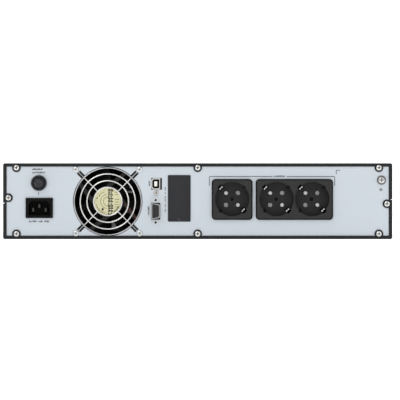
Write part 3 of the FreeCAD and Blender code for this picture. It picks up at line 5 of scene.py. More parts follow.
import bmesh
import bpy
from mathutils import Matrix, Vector


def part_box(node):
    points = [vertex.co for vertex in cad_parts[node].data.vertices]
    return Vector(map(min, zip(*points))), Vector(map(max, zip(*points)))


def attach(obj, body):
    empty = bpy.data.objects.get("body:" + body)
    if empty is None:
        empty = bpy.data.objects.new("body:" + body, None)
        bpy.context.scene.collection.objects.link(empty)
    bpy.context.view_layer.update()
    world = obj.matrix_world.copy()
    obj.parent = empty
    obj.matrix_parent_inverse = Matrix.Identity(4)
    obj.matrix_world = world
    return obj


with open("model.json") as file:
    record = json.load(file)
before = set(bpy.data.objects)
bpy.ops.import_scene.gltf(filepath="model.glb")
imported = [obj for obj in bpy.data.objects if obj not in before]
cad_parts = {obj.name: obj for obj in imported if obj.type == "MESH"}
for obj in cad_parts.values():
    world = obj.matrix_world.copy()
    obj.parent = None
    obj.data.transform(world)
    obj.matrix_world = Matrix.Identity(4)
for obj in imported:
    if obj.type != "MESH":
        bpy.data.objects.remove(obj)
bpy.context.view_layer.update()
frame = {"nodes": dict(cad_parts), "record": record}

# Everything below is in metres, in the row's frame: +Z up, the connector panel
# faces -Y, and +X is to the right of someone who looks at that panel.
MM = 0.001
CASE = "case"


def corners(node):
    """The two corners of a CAD node, as vectors."""
    low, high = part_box(node)
    return Vector(low), Vector(high)


def middle(node):
    """The middle of a CAD node."""
    low, high = corners(node)
    return (low + high) / 2


PANEL_Y = corners("rear_panel")[0].y
REAR_Y = corners("chassis_base")[0].y
CASE_TOP = corners("top_cover")[1].z
FAN = middle("fan_guard")


# ---------------------------------------------------------------- shader steps

def shade(name, color, metallic=0.0, roughness=0.5, **extra):
    """A material with constant values on its shader; details are added to it."""
    mat = bpy.data.materials.new(name)
    mat.use_nodes = True
    shader = mat.node_tree.nodes["Principled BSDF"]
    shader.inputs["Base Color"].default_value = (*color, 1)
    shader.inputs["Metallic"].default_value = metallic
    shader.inputs["Roughness"].default_value = roughness
    for key, value in extra.items():
        shader.inputs[key.replace("_", " ")].default_value = value
    return mat


def feed(mat, value, socket):
    """Drive one of the shader's sockets by a value."""
    tree = mat.node_tree
    tree.links.new(value, tree.nodes["Principled BSDF"].inputs[socket])


def own_point(mat):
    """The point of the surface, in the object's own frame."""
    return mat.node_tree.nodes.new("ShaderNodeTexCoord").outputs["Object"]


def coordinate(mat, vector, axis):
    """One coordinate of a vector."""
    split = mat.node_tree.nodes.new("ShaderNodeSeparateXYZ")
    mat.node_tree.links.new(vector, split.inputs["Vector"])
    return split.outputs[axis]


def number_step(mat, operation, *values):
    """One step of arithmetic on values of the shader."""
    node = mat.node_tree.nodes.new("ShaderNodeMath")
    node.operation = operation
    for value, socket in zip(values, node.inputs):
        mat.node_tree.links.new(value, socket)
    return node.outputs["Value"]


def vector_step(mat, operation, vector, fixed=None):
    """One step of arithmetic on a vector of the shader, with a fixed vector where it needs one."""
    node = mat.node_tree.nodes.new("ShaderNodeVectorMath")
    node.operation = operation
    mat.node_tree.links.new(vector, node.inputs[0])
    if fixed is not None:
        node.inputs[1].default_value = fixed
    gives_number = operation in ("LENGTH", "DISTANCE", "DOT_PRODUCT")
    return node.outputs["Value" if gives_number else "Vector"]


def noise(mat, scale, detail=3.0, stretch=(1, 1, 1)):
    """A noise texture on the object's own coordinates; returns its value socket."""
    tree = mat.node_tree
    mapping = tree.nodes.new("ShaderNodeMapping")
    mapping.inputs["Scale"].default_value = stretch
    texture = tree.nodes.new("ShaderNodeTexNoise")
    texture.inputs["Scale"].default_value = scale
    texture.inputs["Detail"].default_value = detail
    tree.links.new(own_point(mat), mapping.inputs["Vector"])
    tree.links.new(mapping.outputs["Vector"], texture.inputs["Vector"])
    return texture.outputs["Fac"]


def spread(mat, value, low, high, start=0.3, end=0.7):
    """Map a value between two limits on to another range."""
    node = mat.node_tree.nodes.new("ShaderNodeMapRange")
    node.inputs["From Min"].default_value = start
    node.inputs["From Max"].default_value = end
    node.inputs["To Min"].default_value = low
    node.inputs["To Max"].default_value = high
    mat.node_tree.links.new(value, node.inputs["Value"])
    return node.outputs["Result"]


def tint(mat, value, dark, light):
    """Colour a material between two colours by a value from 0 to 1."""
    ramp = mat.node_tree.nodes.new("ShaderNodeValToRGB")
    ramp.color_ramp.elements[0].color = (*dark, 1)
    ramp.color_ramp.elements[1].color = (*light, 1)
    mat.node_tree.links.new(value, ramp.inputs["Fac"])
    feed(mat, ramp.outputs["Color"], "Base Color")


def rough(mat, value, low, high):
    """Vary a material's roughness between two limits by a noise value."""
    feed(mat, spread(mat, value, low, high), "Roughness")


def bump(mat, value, distance, strength):
    """Add fine relief to a material."""
    node = mat.node_tree.nodes.new("ShaderNodeBump")
    node.inputs["Distance"].default_value = distance
    node.inputs["Strength"].default_value = strength
    mat.node_tree.links.new(value, node.inputs["Height"])
    feed(mat, node.outputs["Normal"], "Normal")


def scaled(color, factor):
    """The same colour, brighter or darker."""
    return tuple(min(1.0, part * factor) for part in color)


def mottle(mat, value, color, dark, light, start=0.3, end=0.7):
    """Vary a material's colour by a noise value, between two factors of it."""
    tint(mat, spread(mat, value, 0, 1, start, end), scaled(color, dark), scaled(color, light))


# ---------------------------------------------------------------- finishes

def powder_coat(name, color):
    """Fine-texture powder coat: small orange peel and slight colour change."""
    mat = shade(name, color, 0.0, 0.5, Specular_IOR_Level=0.3)
    grain = noise(mat, 1500, 2)
    mottle(mat, noise(mat, 40, 4), color, 0.88, 1.14)
    rough(mat, grain, 0.42, 0.58)
    bump(mat, grain, 0.12 * MM, 0.35)
    return mat


def sheet_metal(name, color, brushed=(1, 1, 1), metallic=0.85, roughness=0.4):
    """Plated sheet: cloudy tone, fine brushing and a satin gloss."""
    mat = shade(name, color, metallic, roughness)
    fine = noise(mat, 900, 3, brushed)
    mottle(mat, noise(mat, 14, 5), color, 0.95, 1.05)
    rough(mat, fine, roughness - 0.06, roughness + 0.08)
    bump(mat, fine, 0.03 * MM, 0.25)
    return mat


def plated(name, color, roughness=0.22):
    """Bright plated metal with faint handling marks."""
    mat = shade(name, color, 1.0, roughness)
    marks = noise(mat, 700, 4)
    mottle(mat, marks, color, 0.9, 1.05)
    rough(mat, marks, roughness * 0.8, roughness * 1.4)
    bump(mat, marks, 0.02 * MM, 0.2)
    return mat


def moulded(name, color, roughness=0.45, grain=1800, depth=0.06 * MM, gloss=0.3):
    """Moulded plastic with a fine spark-eroded grain."""
    mat = shade(name, color, 0.0, roughness, Specular_IOR_Level=gloss)
    fine = noise(mat, grain, 2)
    mottle(mat, noise(mat, 60, 3), color, 0.9, 1.12)
    rough(mat, fine, roughness - 0.06, roughness + 0.08)
    bump(mat, fine, depth, 0.3)
    return mat


def circuit_board(name, color):
    """Solder mask over copper: fine tracks show as slightly lighter bands."""
    mat = shade(name, color, 0.0, 0.35)
    tracks = noise(mat, 260, 2, (1, 0.12, 1))
    mottle(mat, tracks, color, 0.8, 1.5, 0.45, 0.55)
    bump(mat, tracks, 0.03 * MM, 0.3)
    return mat


def printed(name, color):
    """Screen-printed ink, slightly uneven."""
    mat = shade(name, color, 0.0, 0.6)
    mottle(mat, noise(mat, 1200, 3), color, 0.85, 1.25)
    return mat


def paper_label(name, color):
    """A coated paper label, a little yellowed in patches."""
    mat = shade(name, color, 0.0, 0.55)
    mottle(mat, noise(mat, 220, 4), color, 0.93, 1.03)
    bump(mat, noise(mat, 3000, 2), 0.02 * MM, 0.3)
    return mat


def clear_acrylic(name):
    """Clear window plastic with a faint haze."""
    mat = shade(name, (0.85, 0.88, 0.9), 0.0, 0.04, Transmission_Weight=1.0, IOR=1.49)
    rough(mat, noise(mat, 90, 3), 0.02, 0.07)
    return mat


def two_wires(name, first, second, across, line):
    """Insulation of two wires side by side: one colour on each side of a line."""
    mat = shade(name, first, 0.0, 0.4, Specular_IOR_Level=0.3)
    side = vector_step(mat, "DOT_PRODUCT", own_point(mat), across)
    blur = 0.1 * MM
    tint(mat, spread(mat, side, 0, 1, line - blur, line + blur), first, second)
    bump(mat, noise(mat, 900, 2), 0.03 * MM, 0.2)
    return mat


def painted_depth_shade(mat, light, dark, start, depth):
    """Painted shade: colour a material from light to dark with its depth behind a level along Y."""
    level = coordinate(mat, own_point(mat), "Y")
    tint(mat, spread(mat, level, 1, 0, start, start + depth), dark, light)
    return mat


def shaded_screw_plating(name, node, light, dark, roughness=0.3):
    """Plating that is bright on a screw's face, with painted shade: dark in its recess and round its
    rim.
    """
    start = corners(node)[0].y
    return painted_depth_shade(plated(name, light, roughness), light, dark, start + 0.25 * MM, 1.0 * MM)


def panel_sheet(name, color):
    """The zinc panel, with painted shade: dark in the strip behind the case's flange that a seam
    shows.
    """
    mat = sheet_metal(name, color, (1, 1, 8), 0.5, 0.42)
    flange = corners("chassis_base")[1].x - 4.0 * MM
    aside = number_step(mat, "ABSOLUTE", coordinate(mat, own_point(mat), "X"))
    tint(mat, spread(mat, aside, 0, 1, flange, flange + 0.05 * MM), color, CHARCOAL)
    return mat


def guard_wire(name, bright, shaded):
    """Chrome wire with painted shade: darker towards the outermost ring and the ends of the spokes.
    """
    mat = plated(name, bright, 0.26)
    apart = vector_step(mat, "DISTANCE", own_point(mat), FAN)
    tint(mat, spread(mat, apart, 0, 1, 34 * MM, 37.5 * MM), bright, shaded)
    return mat


def inside_rim(mat, node, radius):
    """How far a point is inside the outline of a node with round corners, seen along Y."""
    low, high = corners(node)
    across = Vector((1, 0, 1))
    core = (high - low) / 2 - Vector((radius, 0, radius))
    place = vector_step(mat, "SUBTRACT", own_point(mat), (low + high) / 2)
    place = vector_step(mat, "ABSOLUTE", vector_step(mat, "MULTIPLY", place, across))
    beyond = vector_step(mat, "MAXIMUM", vector_step(mat, "SUBTRACT", place, core), Vector((0, 0, 0)))
    reach = vector_step(mat, "LENGTH", vector_step(mat, "MULTIPLY", beyond, across))
    return spread(mat, reach, radius, 0, 0, radius)


def outlet_plastic(name, node):
    """Moulded plastic with a grained face, and painted shade on its bevels, walls and rim: a darker
    colour and less gloss there.
    """
    face, edge = (0.020, 0.020, 0.0195), (0.0025, 0.0025, 0.003)
    rim, corner_radius, blur = 1.3 * MM, 3.5 * MM, 0.05 * MM
    mat = moulded(name, face, 0.5)
    normal = mat.node_tree.nodes.new("ShaderNodeNewGeometry").outputs["True Normal"]
    squarely = number_step(mat, "ABSOLUTE", coordinate(mat, normal, "Y"))
    flat = spread(mat, squarely, 0, 1, 0.72, 0.98)
    inner = spread(mat, inside_rim(mat, node, corner_radius), 0, 1, rim - blur, rim + blur)
    # Painted shade: surfaces not facing along Y, and a band round the rim, take the darker colour.
    tint(mat, number_step(mat, "MULTIPLY", flat, inner), edge, face)
    feed(mat, spread(mat, inner, 0.02, 0.3, 0, 1), "Specular IOR Level")
    return mat


CHARCOAL = (0.0072, 0.0088, 0.0108)
BOARD_GREEN = (0.015, 0.10, 0.045)
TIN = (0.42, 0.42, 0.41)
USB_TIN = (0.62, 0.61, 0.58)
SPRING = (0.95, 0.95, 0.94)
INSERT = (0.040, 0.040, 0.042)
# The direction across the fan lead's two wires, and where the line between them lies.
LEAD_ACROSS = Vector((0.7915, 0.0, 0.6112))
LEAD_LINE = (FAN + Vector((16.5 * MM, 0, 0))).dot(LEAD_ACROSS)

# The finish of each material slot, unless every node in the slot has its own below.
MATERIALS = {
    "case_black": powder_coat("powder_coat_charcoal", CHARCOAL),
    "ear_black": powder_coat("powder_coat_ear", CHARCOAL),
    "slot_grey": powder_coat("powder_coat_slot", (0.0155, 0.0158, 0.0190)),
    "slot_screw_dark": plated("black_oxide_screw", (0.07, 0.07, 0.075), 0.4),
    "wire_insulation": two_wires("wire_pvc", (0.015, 0.012, 0.012), (0.115, 0.028, 0.030),
                                 LEAD_ACROSS, LEAD_LINE),
    "panel_silver": panel_sheet("zinc_plated_panel", (0.59, 0.64, 0.69)),
    "galvanised": sheet_metal("galvanised_sheet", (0.55, 0.57, 0.58)),
    "plain_steel": sheet_metal("bare_steel", (0.52, 0.52, 0.51), (8, 1, 1)),
    "aluminium_extrusion": sheet_metal("extruded_aluminium", (0.68, 0.69, 0.70), (1, 0.1, 1)),
    "screw_nickel": plated("screw_nickel_plate", (0.86, 0.86, 0.85), 0.22),
    "contact_metal": plated("contact_nickel", (0.42, 0.415, 0.39), 0.4),
    # Painted shade: the guard's wire darkens towards its outer ring.
    "guard_chrome": guard_wire("guard_wire_chrome", (0.80, 0.79, 0.77), (0.50, 0.50, 0.51)),
    "copper": plated("enamelled_copper", (0.70, 0.30, 0.12), 0.35),
    "breaker_black": moulded("breaker_plastic", (0.020, 0.021, 0.026), 0.34),
    "button_black": moulded("button_plastic", (0.024, 0.025, 0.031), 0.26, 2600, 0.03 * MM),
    "inlet_black": moulded("inlet_plastic", (0.004, 0.004, 0.0036), 0.5, gloss=0.1),
    "fan_black": moulded("fan_plastic", (0.006, 0.006, 0.0065), 0.35),
    "white_plastic": moulded("white_nylon", (0.86, 0.85, 0.80), 0.4),
    "chip_black": moulded("epoxy_black", (0.02, 0.02, 0.021), 0.5),
    "sleeve": moulded("capacitor_sleeve", (0.02, 0.035, 0.09), 0.25),
    "relay_case": moulded("relay_plastic", (0.02, 0.02, 0.028), 0.3),
    "core_steel": moulded("varnished_core", (0.07, 0.065, 0.06), 0.35, 900, 0.1 * MM),
    "winding_tape": moulded("polyester_tape", (0.72, 0.52, 0.10), 0.3),
    "connector_grey": moulded("connector_plastic", (0.30, 0.31, 0.33), 0.45),
    "battery_case": moulded("battery_plastic", (0.06, 0.065, 0.075), 0.5, 700, 0.1 * MM),
    "bezel_black": moulded("bezel_plastic", (0.020, 0.021, 0.023), 0.45, 1400, 0.1 * MM),
    "lcd_face": moulded("lcd_frame", (0.03, 0.03, 0.032), 0.4),
    "window_clear": clear_acrylic("window_acrylic"),
}

# Nodes with a finish of their own, instead of the one of their slot.
NODE_FINISH = {
    # Painted shade: each screw's plating goes dark in its recess and round its rim.
    "rear_panel_screws": shaded_screw_plating("panel_screw_nickel", "rear_panel_screws",
                                      (0.78, 0.78, 0.76), (0.10, 0.10, 0.10)),
    "fan_screws": shaded_screw_plating("fan_screw_zinc", "fan_screws",
                               (0.72, 0.73, 0.73), (0.24, 0.25, 0.26), 0.34),
    "port_screw": shaded_screw_plating("port_screw_nickel", "port_screw",
                               (0.60, 0.60, 0.56), (0.10, 0.10, 0.09)),
    "ground_screw": shaded_screw_plating("ground_screw_nickel", "ground_screw",
                                 (0.74, 0.74, 0.73), (0.20, 0.20, 0.20)),
    # Painted shade: the inlet's pins are coloured near black for the shade inside the inlet.
    "inlet_pins": plated("inlet_pin_painted_shade", (0.075, 0.07, 0.06), 0.42),
    "outlet_rivets": plated("rivet_satin_nickel", (0.62, 0.62, 0.61), 0.36),
    "serial_jack_nuts": plated("jack_nut_nickel", (0.66, 0.68, 0.69), 0.35),
    "outlet_housing_single": outlet_plastic("single_outlet_plastic", "outlet_housing_single"),
    "outlet_housing_double": outlet_plastic("double_outlet_plastic", "outlet_housing_double"),
    # Painted shade: the clips go dark below their bright tips.
    "outlet_earth_clips": painted_depth_shade(plated("earth_spring_nickel", SPRING, 0.25), SPRING,
                                    (0.05, 0.05, 0.05),
                                    corners("outlet_earth_clips")[0].y + 1.6 * MM, 1.2 * MM),
    # Painted shade: dark inside the serial shell.
    "serial_shell": painted_depth_shade(plated("serial_shell_tin", TIN, 0.3), TIN,
                              (0.006, 0.006, 0.006), REAR_Y - 1.0 * MM, 1.0 * MM),
    # Painted shade: the insert goes black deeper in, in its pin holes.
    "serial_insert": painted_depth_shade(moulded("serial_insert_plastic", INSERT), INSERT,
                               (0.0004, 0.0004, 0.0004), REAR_Y - 2.9 * MM, 0.4 * MM),
    # Painted shade: dark inside the USB shell.
    "usb_shell": painted_depth_shade(plated("usb_shell_tin", USB_TIN, 0.3), USB_TIN,
                           (0.004, 0.004, 0.003), REAR_Y + 0.6 * MM, 0.5 * MM),
    "main_board": circuit_board("main_solder_mask", (0.007, 0.045, 0.02)),
    "display_board": circuit_board("display_solder_mask", (0.004, 0.015, 0.008)),
    # Painted shadow: this one is dark at the edge that the USB cutout shows, and green behind it.
    "comm_board": painted_depth_shade(circuit_board("port_board", BOARD_GREEN), (0.004, 0.004, 0.004),
                            BOARD_GREEN, REAR_Y + 15.5 * MM, 0.2 * MM),
}

INK = printed("panel_ink", (0.030, 0.032, 0.038))
INK_SOFT = printed("panel_ink_soft", (0.13, 0.135, 0.15))
LABEL = paper_label("fan_label_paper", (0.67, 0.645, 0.40))
LABEL_INK = printed("fan_label_ink", (0.022, 0.02, 0.012))
LABEL_INK_LIGHT = printed("fan_label_ink_light", (0.16, 0.145, 0.075))
# Painted shade: a near-black colour for the bottoms of holes, made with the ink finish.
HOLE_SHADE = printed("hole_painted_shade", (0.002, 0.002, 0.002))
LEAF_METAL = plated("contact_leaf_nickel", (0.40, 0.40, 0.39), 0.38)


def paint_nodes():
    """Give every CAD node its own finish, or the one of its slot."""
    slots = {part["node"]: part["material_slot"] for part in frame["record"]["subparts"]}
    for name, node in frame["nodes"].items():
        node.data.materials.clear()
        node.data.materials.append(NODE_FINISH.get(name) or MATERIALS[slots[name]])


# ---------------------------------------------------------------- mesh helpers

def piece(name, mesh, mat, body):
    """Make an object of a mesh, give it a finish and let it ride on a body."""
    obj = bpy.data.objects.new(name, mesh)
    bpy.context.scene.collection.objects.link(obj)
    mesh.materials.append(mat)
    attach(obj, body)


def prisms(name, outlines, y, thick, mat, body=CASE):
    """Flat shapes square to Y: each outline is a ring of (x, z) points."""
    mesh = bpy.data.meshes.new(name)
    work = bmesh.new()
    for outline in outlines:
        near = [work.verts.new((x, y, z)) for x, z in outline]
        far = [work.verts.new((x, y + thick, z)) for x, z in outline]
        work.faces.new(near)
        work.faces.new(list(reversed(far)))
        count = len(outline)
        for n in range(count):
            after = (n + 1) % count
            work.faces.new((near[after], near[n], far[n], far[after]))
    bmesh.ops.recalc_face_normals(work, faces=work.faces[:])
    work.to_mesh(mesh)
    work.free()
    piece(name, mesh, mat, body)


def box_outline(x0, z0, x1, z1):
    """A rectangle as a ring of points."""
    return [(x0, z0), (x1, z0), (x1, z1), (x0, z1)]


def on_circle(x, z, radius, degrees):
    """A point of a circle at an angle."""
    angle = math.radians(degrees)
    return x + radius * math.cos(angle), z + radius * math.sin(angle)


def arc_points(x, z, radius, start, end, steps):
    """Points along an arc, both ends included."""
    return [on_circle(x, z, radius, start + (end - start) * n / steps) for n in range(steps + 1)]


def round_outline(x0, z0, x1, z1, radius, steps=6):
    """A rectangle with round corners."""
    ring = []
    for x, z, start in ((x1 - radius, z0 + radius, -90), (x1 - radius, z1 - radius, 0),
                        (x0 + radius, z1 - radius, 90), (x0 + radius, z0 + radius, 180)):
        ring += arc_points(x, z, radius, start, start + 90, steps)
    return ring


def disc_outline(x, z, radius, steps=64):
    """A circle as a ring of points."""
    return [on_circle(x, z, radius, 360 * n / steps) for n in range(steps)]


def arc_band(x, z, radius, width, start, end, steps=24):
    """A flat curved stroke between two angles in degrees."""
    outer = arc_points(x, z, radius + width / 2, start, end, steps)
    inner = arc_points(x, z, radius - width / 2, start, end, steps)
    return outer + inner[::-1]


def half_disc(x, z, radius, gap, start, steps=12):
    """Half a disc that starts at an angle in degrees, moved off its centre by half a gap."""
    x, z = on_circle(x, z, gap / 2, start + 90)
    return arc_points(x, z, radius, start, start + 180, steps)


# ---------------------------------------------------------------- printing on the panel

INK_THICK = 0.03 * MM
INK_Y = PANEL_Y - INK_THICK
LINE = 0.75 * MM

# Small print: the piece that it belongs to, then its left, right, foot and head
# in mm from the middle of that piece.
CAPTIONS = (
    ("breaker_nut", -7.6, 4.0, 14.4, 16.5),
    ("breaker_nut", -7.6, 6.8, 10.7, 12.8),
    ("inlet_housing", -11.6, -3.2, -16.2, -14.1),
    ("inlet_housing", -1.2, 4.0, -16.2, -14.1),
    ("inlet_housing", 5.6, 10.9, -16.2, -14.1),
    ("usb_shell", -8.0, -6.1, -2.4, 3.1),
    ("serial_insert", -8.9, -7.0, -4.2, 5.3),
    ("slot_cover", -16.45, -15.15, -15.4, -11.4),
    ("slot_cover", -16.45, -15.15, -9.8, -5.2),
    ("slot_cover", -16.45, -15.15, -3.8, 3.0),
    ("slot_cover", -16.45, -15.15, 4.4, 7.0),
    ("slot_cover", -16.45, -15.15, 8.4, 12.6),
    ("outlet_housing_double", -23.1, -10.1, 25.05, 27.05),
)


def greeked(left, right, foot, head, rng):
    """Short ticks along the longer side: small print from afar that spells nothing."""
    upright = head - foot > right - left
    along, end = (foot, head) if upright else (left, right)
    near, far = (left, right) if upright else (foot, head)
    shortest = 0.3 * MM
    ticks = []
    while along < end - shortest:
        width = min(rng.uniform(0.5, 0.85) * MM, end - along)
        low = near + rng.choice((0.0, 0.0, 0.15, 0.3)) * (far - near)
        high = near + rng.choice((1.0, 1.0, 0.85, 0.7)) * (far - near)
        if upright:
            ticks.append(box_outline(low, along, high, along + width))
        else:
            ticks.append(box_outline(along, low, along + width, high))
        along += width + rng.uniform(0.2, 0.34) * MM
    return ticks


def print_text():
    """All small print on the connector panel, as greeked rows."""
    rng = random.Random(7)
    rows = []
    for name, left, right, foot, head in CAPTIONS:
        at = middle(name)
        rows += greeked(at.x + left * MM, at.x + right * MM, at.z + foot * MM, at.z + head * MM, rng)
    prisms("panel_small_print", rows, INK_Y, INK_THICK, INK)


def outlet_bracket():
    """The line over the outlets, with round corners and a gap for its caption."""
    left = corners("outlet_housing_single")[0].x - 2.8 * MM
    right = corners("outlet_housing_double")[1].x + 2.1 * MM
    top = corners("outlet_housing_single")[1].z + 3.0 * MM
    foot = top - 10.2 * MM
    gap_left, gap_right = left + 70.8 * MM, left + 87.0 * MM
    turn = 1.4 * MM
    half = LINE / 2
    return [
        box_outline(left - half, foot, left + half, top - turn),
        box_outline(right - half, foot, right + half, top - turn),
        box_outline(left + turn, top - half, gap_left, top + half),
        box_outline(gap_right, top - half, right - turn, top + half),
        arc_band(left + turn, top - turn, turn, LINE, 90, 180, 8),
        arc_band(right - turn, top - turn, turn, LINE, 0, 90, 8),
    ]


def breaker_tick():
    """The short stroke under the breaker."""
    breaker = middle("breaker_nut")
    x, z = breaker.x - 0.4 * MM, breaker.z - 11.9 * MM
    half_wide, half_tall = 0.4 * MM, 1.4 * MM
    return box_outline(x - half_wide, z - half_tall, x + half_wide, z + half_tall)


def corner_mark():
    """The paler angle to the right of the outlets."""
    x = corners("outlet_housing_double")[1].x + 3.3 * MM
    z = CASE_TOP - 7.4 * MM
    long, stroke = 5.0 * MM, 0.9 * MM
    return [box_outline(x, z - long, x + stroke, z),
            box_outline(x + stroke, z - stroke, x + long, z)]


def earth_symbol():
    """The earth symbol under the ground screw: a stem and three bars."""
    earth = middle("ground_screw")
    x, z = earth.x - 0.6 * MM, earth.z - 8.4 * MM
    half_stem, stem, pitch, bar = 0.35 * MM, 1.6 * MM, 0.95 * MM, 0.62 * MM
    strokes = [box_outline(x - half_stem, z - stem, x + half_stem, z)]
    for n, width in enumerate((4.3 * MM, 2.9 * MM, 1.5 * MM)):
        level = z - stem - pitch * n
        strokes.append(box_outline(x - width / 2, level - bar, x + width / 2, level))
    return strokes


def print_lines():
    """The drawn marks on the connector panel."""
    prisms("panel_lines", [*outlet_bracket(), breaker_tick()], INK_Y, INK_THICK, INK)
    prisms("panel_corner_mark", corner_mark(), INK_Y, INK_THICK, INK_SOFT)
    prisms("earth_symbol", earth_symbol(), INK_Y, INK_THICK, INK)


# ---------------------------------------------------------------- ports and sockets

def jack_hole_shade():
    """Painted shade: black discs at the bottoms of the threaded holes in the two jack nuts."""
    low, high = corners("serial_jack_nuts")
    x = (low.x + high.x) / 2
    nut_radius = 2.5 * MM
    discs = [disc_outline(x, z, 1.38 * MM, 32) for z in (low.z + nut_radius, high.z - nut_radius)]
    prisms("jack_hole_painted_shade", discs, low.y + 1.2 * MM, 0.1 * MM, HOLE_SHADE)


def contact_leaves():
    """The sprung leaves that close the mouth of each outlet contact."""
    thick = 0.3 * MM
    mouth = corners("outlet_contacts")[0].y
    # The pins are 19 mm apart on one diagonal, and the rivets are on the other.
    reach = 19.0 / 2 * MM * math.sqrt(0.5)
    leaves = []
    for mount in frame["record"]["mounts"]:
        if not mount["name"].startswith("outlet_"):
            continue
        x, z = mount["pos_m"][0], mount["pos_m"][2]
        for way in (-1, 1):
            for start in (45, 225):
                leaves.append(half_disc(x + way * reach, z + way * reach, 1.95 * MM, 0.4 * MM, start))
    prisms("outlet_contact_leaves", leaves, mouth + thick, thick, LEAF_METAL)


# ---------------------------------------------------------------- fan label

LABEL_THICK = 0.12 * MM
LABEL_Y = corners("fan_frame")[0].y + 0.4 * MM - LABEL_THICK


def at_fan(outline):
    """An outline in mm about the fan's middle, moved to the fan."""
    return [(FAN.x + x * MM, FAN.z + z * MM) for x, z in outline]


def bold_marks(rng):
    """Two columns of leaning bars and blocks, and three marks at their left."""
    bar, gap, wide = 1.5, 0.3, 2.8
    marks = []
    level = 13.9
    while level > -13.0:
        tall = rng.uniform(2.6, 4.2)
        rise = 0.4 * rng.choice((-1.5, 1.5, 0.0))
        foot = level - tall
        for left in (0.2, 3.2):
            right = left + wide
            marks.append([(left, foot), (right, foot + rise),
                          (right, foot + bar + rise), (left, foot + bar)])
            marks.append(box_outline(left, foot + bar + gap, left + rng.choice((1.5, 2.6)), level))
        level -= tall + 0.7
    marks.append([(-10.6, 7.4), (-8.4, 5.4), (-9.6, 6.0)])
    marks.append([(-13.0, 2.6), (-11.0, 3.4), (-11.8, 5.4)])
    marks.append(round_outline(-6.8, -10.2, -4.6, -7.4, 0.7))
    return [at_fan(mark) for mark in marks]


def fine_marks(rng):
    """Short strokes along arcs and rows, in the manner of an approval label."""
    marks = []
    for radius, start, end in ((13.4, 195, 250), (13.4, -60, -20), (11.2, 110, 150),
                               (8.0, 100, 260), (5.0, 60, 300), (13.2, 300, 332)):
        angle = start
        while angle < end:
            step = rng.uniform(4, 9)
            marks.append(at_fan(arc_band(0, 0, radius, 1.1, angle, angle + step * 0.6, 4)))
            angle += step
    for row in (9.6, 7.2, 1.6, -1.2, -4.0, -6.6):
        marks += greeked(FAN.x + 8.0 * MM, FAN.x + 13.0 * MM - abs(row) * 0.22 * MM,
                         FAN.z + row * MM, FAN.z + (row + 1.2) * MM, rng)
    return marks


def fan_label():
    """The round label on the fan's fixed hub, with marks that spell nothing."""
    rng = random.Random(21)
    front = LABEL_Y - INK_THICK
    disc = disc_outline(FAN.x, FAN.z, 16.6 * MM)
    prisms("fan_label", [disc], LABEL_Y, LABEL_THICK, LABEL)
    prisms("fan_label_bold", bold_marks(rng), front, INK_THICK, LABEL_INK)
    prisms("fan_label_fine", fine_marks(rng), front, INK_THICK, LABEL_INK_LIGHT)


# ---------------------------------------------------------------- front

def display_picture():
    """The display's lit field, with bars, a battery sign and a line on it."""
    lcd_low, lcd_high = corners("lcd_module")
    screen = shade("lcd_glow", (0.02, 0.10, 0.28), 0.0, 0.25)
    tint(screen, spread(screen, noise(screen, 30, 2), 0, 1), (0.015, 0.09, 0.26), (0.03, 0.13, 0.34))
    glow = shade("lcd_segments", (0.55, 0.8, 0.95), 0.0, 0.4)
    tint(glow, noise(glow, 200, 2), (0.5, 0.76, 0.92), (0.6, 0.85, 0.98))
    margin, field, segment = 3 * MM, 0.1 * MM, 0.03 * MM
    left, right = lcd_low.x + margin, lcd_high.x - margin
    low, high = lcd_low.z + margin, lcd_high.z - margin
    prisms("lcd_picture", [round_outline(left, low, right, high, 1 * MM)], lcd_high.y, field,
           screen)
    shapes = []
    for n in range(5):
        x = left + (4 + 5.2 * n) * MM
        shapes.append(box_outline(x, low + 4 * MM, x + 3.6 * MM, low + (6 + 2 * n) * MM))
    battery_left, battery_right = right - 22 * MM, right - 5 * MM
    shapes.append(round_outline(battery_left, low + 5 * MM, battery_right, low + 14 * MM, 1 * MM))
    shapes.append(box_outline(battery_right, low + 8 * MM, battery_right + 1.2 * MM, low + 11 * MM))
    shapes.append(box_outline(left + 4 * MM, high - 5 * MM, battery_right, high - 4.4 * MM))
    prisms("lcd_shapes", shapes, lcd_high.y + field, segment, glow)


def power_mark():
    """The power sign on its button: an open ring and a stroke."""
    button = middle("power_button")
    face = corners("power_button")[1].y
    radius, stroke = 3.0 * MM, 0.6 * MM
    x, z = button.x, button.z
    mark = [arc_band(x, z, radius, stroke, 125, 415),
            box_outline(x - stroke / 2, z + 1.0 * MM, x + stroke / 2, z + 4.2 * MM)]
    white = printed("button_mark", (0.75, 0.77, 0.78))
    prisms("power_mark", mark, face, 0.04 * MM, white, "power_button")


# ---------------------------------------------------------------- stage

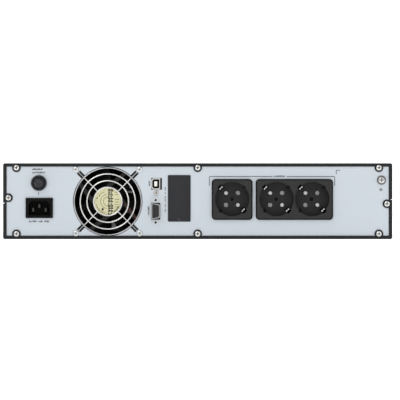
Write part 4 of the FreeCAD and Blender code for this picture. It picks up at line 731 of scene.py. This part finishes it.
def make_stage():
    """A pale floor just under the feet that sweeps up into a pale backdrop."""
    mesh = bpy.data.meshes.new("studio_floor")
    work = bmesh.new()
    half, front, back, radius, tall = 14.0, -12.0, 12.0, 4.0, 9.0
    level = -0.1 * MM
    steps = 12
    profile = [(front, level), *arc_points(back - radius, level + radius, radius, -90, 0, steps),
               (back, tall)]
    rows = [[work.verts.new((x, y, z)) for x in (-half, half)] for y, z in profile]
    for first, second in zip(rows, rows[1:]):
        work.faces.new((first[0], first[1], second[1], second[0]))
    work.to_mesh(mesh)
    work.free()
    floor = bpy.data.objects.new("studio_floor", mesh)
    bpy.context.scene.collection.objects.link(floor)
    for face in mesh.polygons:
        face.use_smooth = True
    paint = shade("studio_paint", (0.95, 0.95, 0.95), 0.0, 0.9, Emission_Strength=0.66)
    paint.node_tree.nodes["Principled BSDF"].inputs["Emission Color"].default_value = (1, 1, 1, 1)
    mesh.materials.append(paint)


def area_light(name, place, size, power):
    """A soft rectangular light that points at the middle of the unit."""
    target = Vector((0, 0, 0.04))
    data = bpy.data.lights.new(name, "AREA")
    data.shape = "RECTANGLE"
    data.size, data.size_y = size
    data.energy = power
    light = bpy.data.objects.new(name, data)
    light.location = place
    light.rotation_euler = (target - Vector(place)).to_track_quat("-Z", "Y").to_euler()
    bpy.context.scene.collection.objects.link(light)


def make_lights():
    """Even white surroundings, two soft boxes behind the unit and one in front of it."""
    world = bpy.data.worlds.new("studio_world")
    world.use_nodes = True
    world.node_tree.nodes["Background"].inputs["Color"].default_value = (1, 1, 1, 1)
    world.node_tree.nodes["Background"].inputs["Strength"].default_value = 0.51
    bpy.context.scene.world = world
    area_light("key_light", (-1.2, -2.6, 2.2), (2.0, 1.2), 25)
    area_light("fill_light", (2.2, -2.0, 1.2), (1.6, 1.2), 10)
    area_light("front_light", (0.8, 2.4, 1.8), (1.8, 1.2), 30)


def make_camera():
    """The camera behind the unit, far off and level, as wide as 448 mm at the case's rear."""
    width, distance = 0.448, 3.0
    aside, up = 2.6 * MM, 43.8 * MM
    data = bpy.data.cameras.new("camera")
    data.sensor_width = 36
    data.lens = data.sensor_width * distance / width
    camera = bpy.data.objects.new("camera", data)
    camera.location = (aside, REAR_Y - distance, up)
    camera.rotation_euler = (math.radians(90), 0, 0)
    bpy.context.scene.collection.objects.link(camera)
    bpy.context.scene.camera = camera
    bpy.context.scene.view_settings.view_transform = "Standard"


make_camera()
make_stage()
make_lights()
paint_nodes()
print_text()
print_lines()
fan_label()
jack_hole_shade()
contact_leaves()
display_picture()
power_mark()
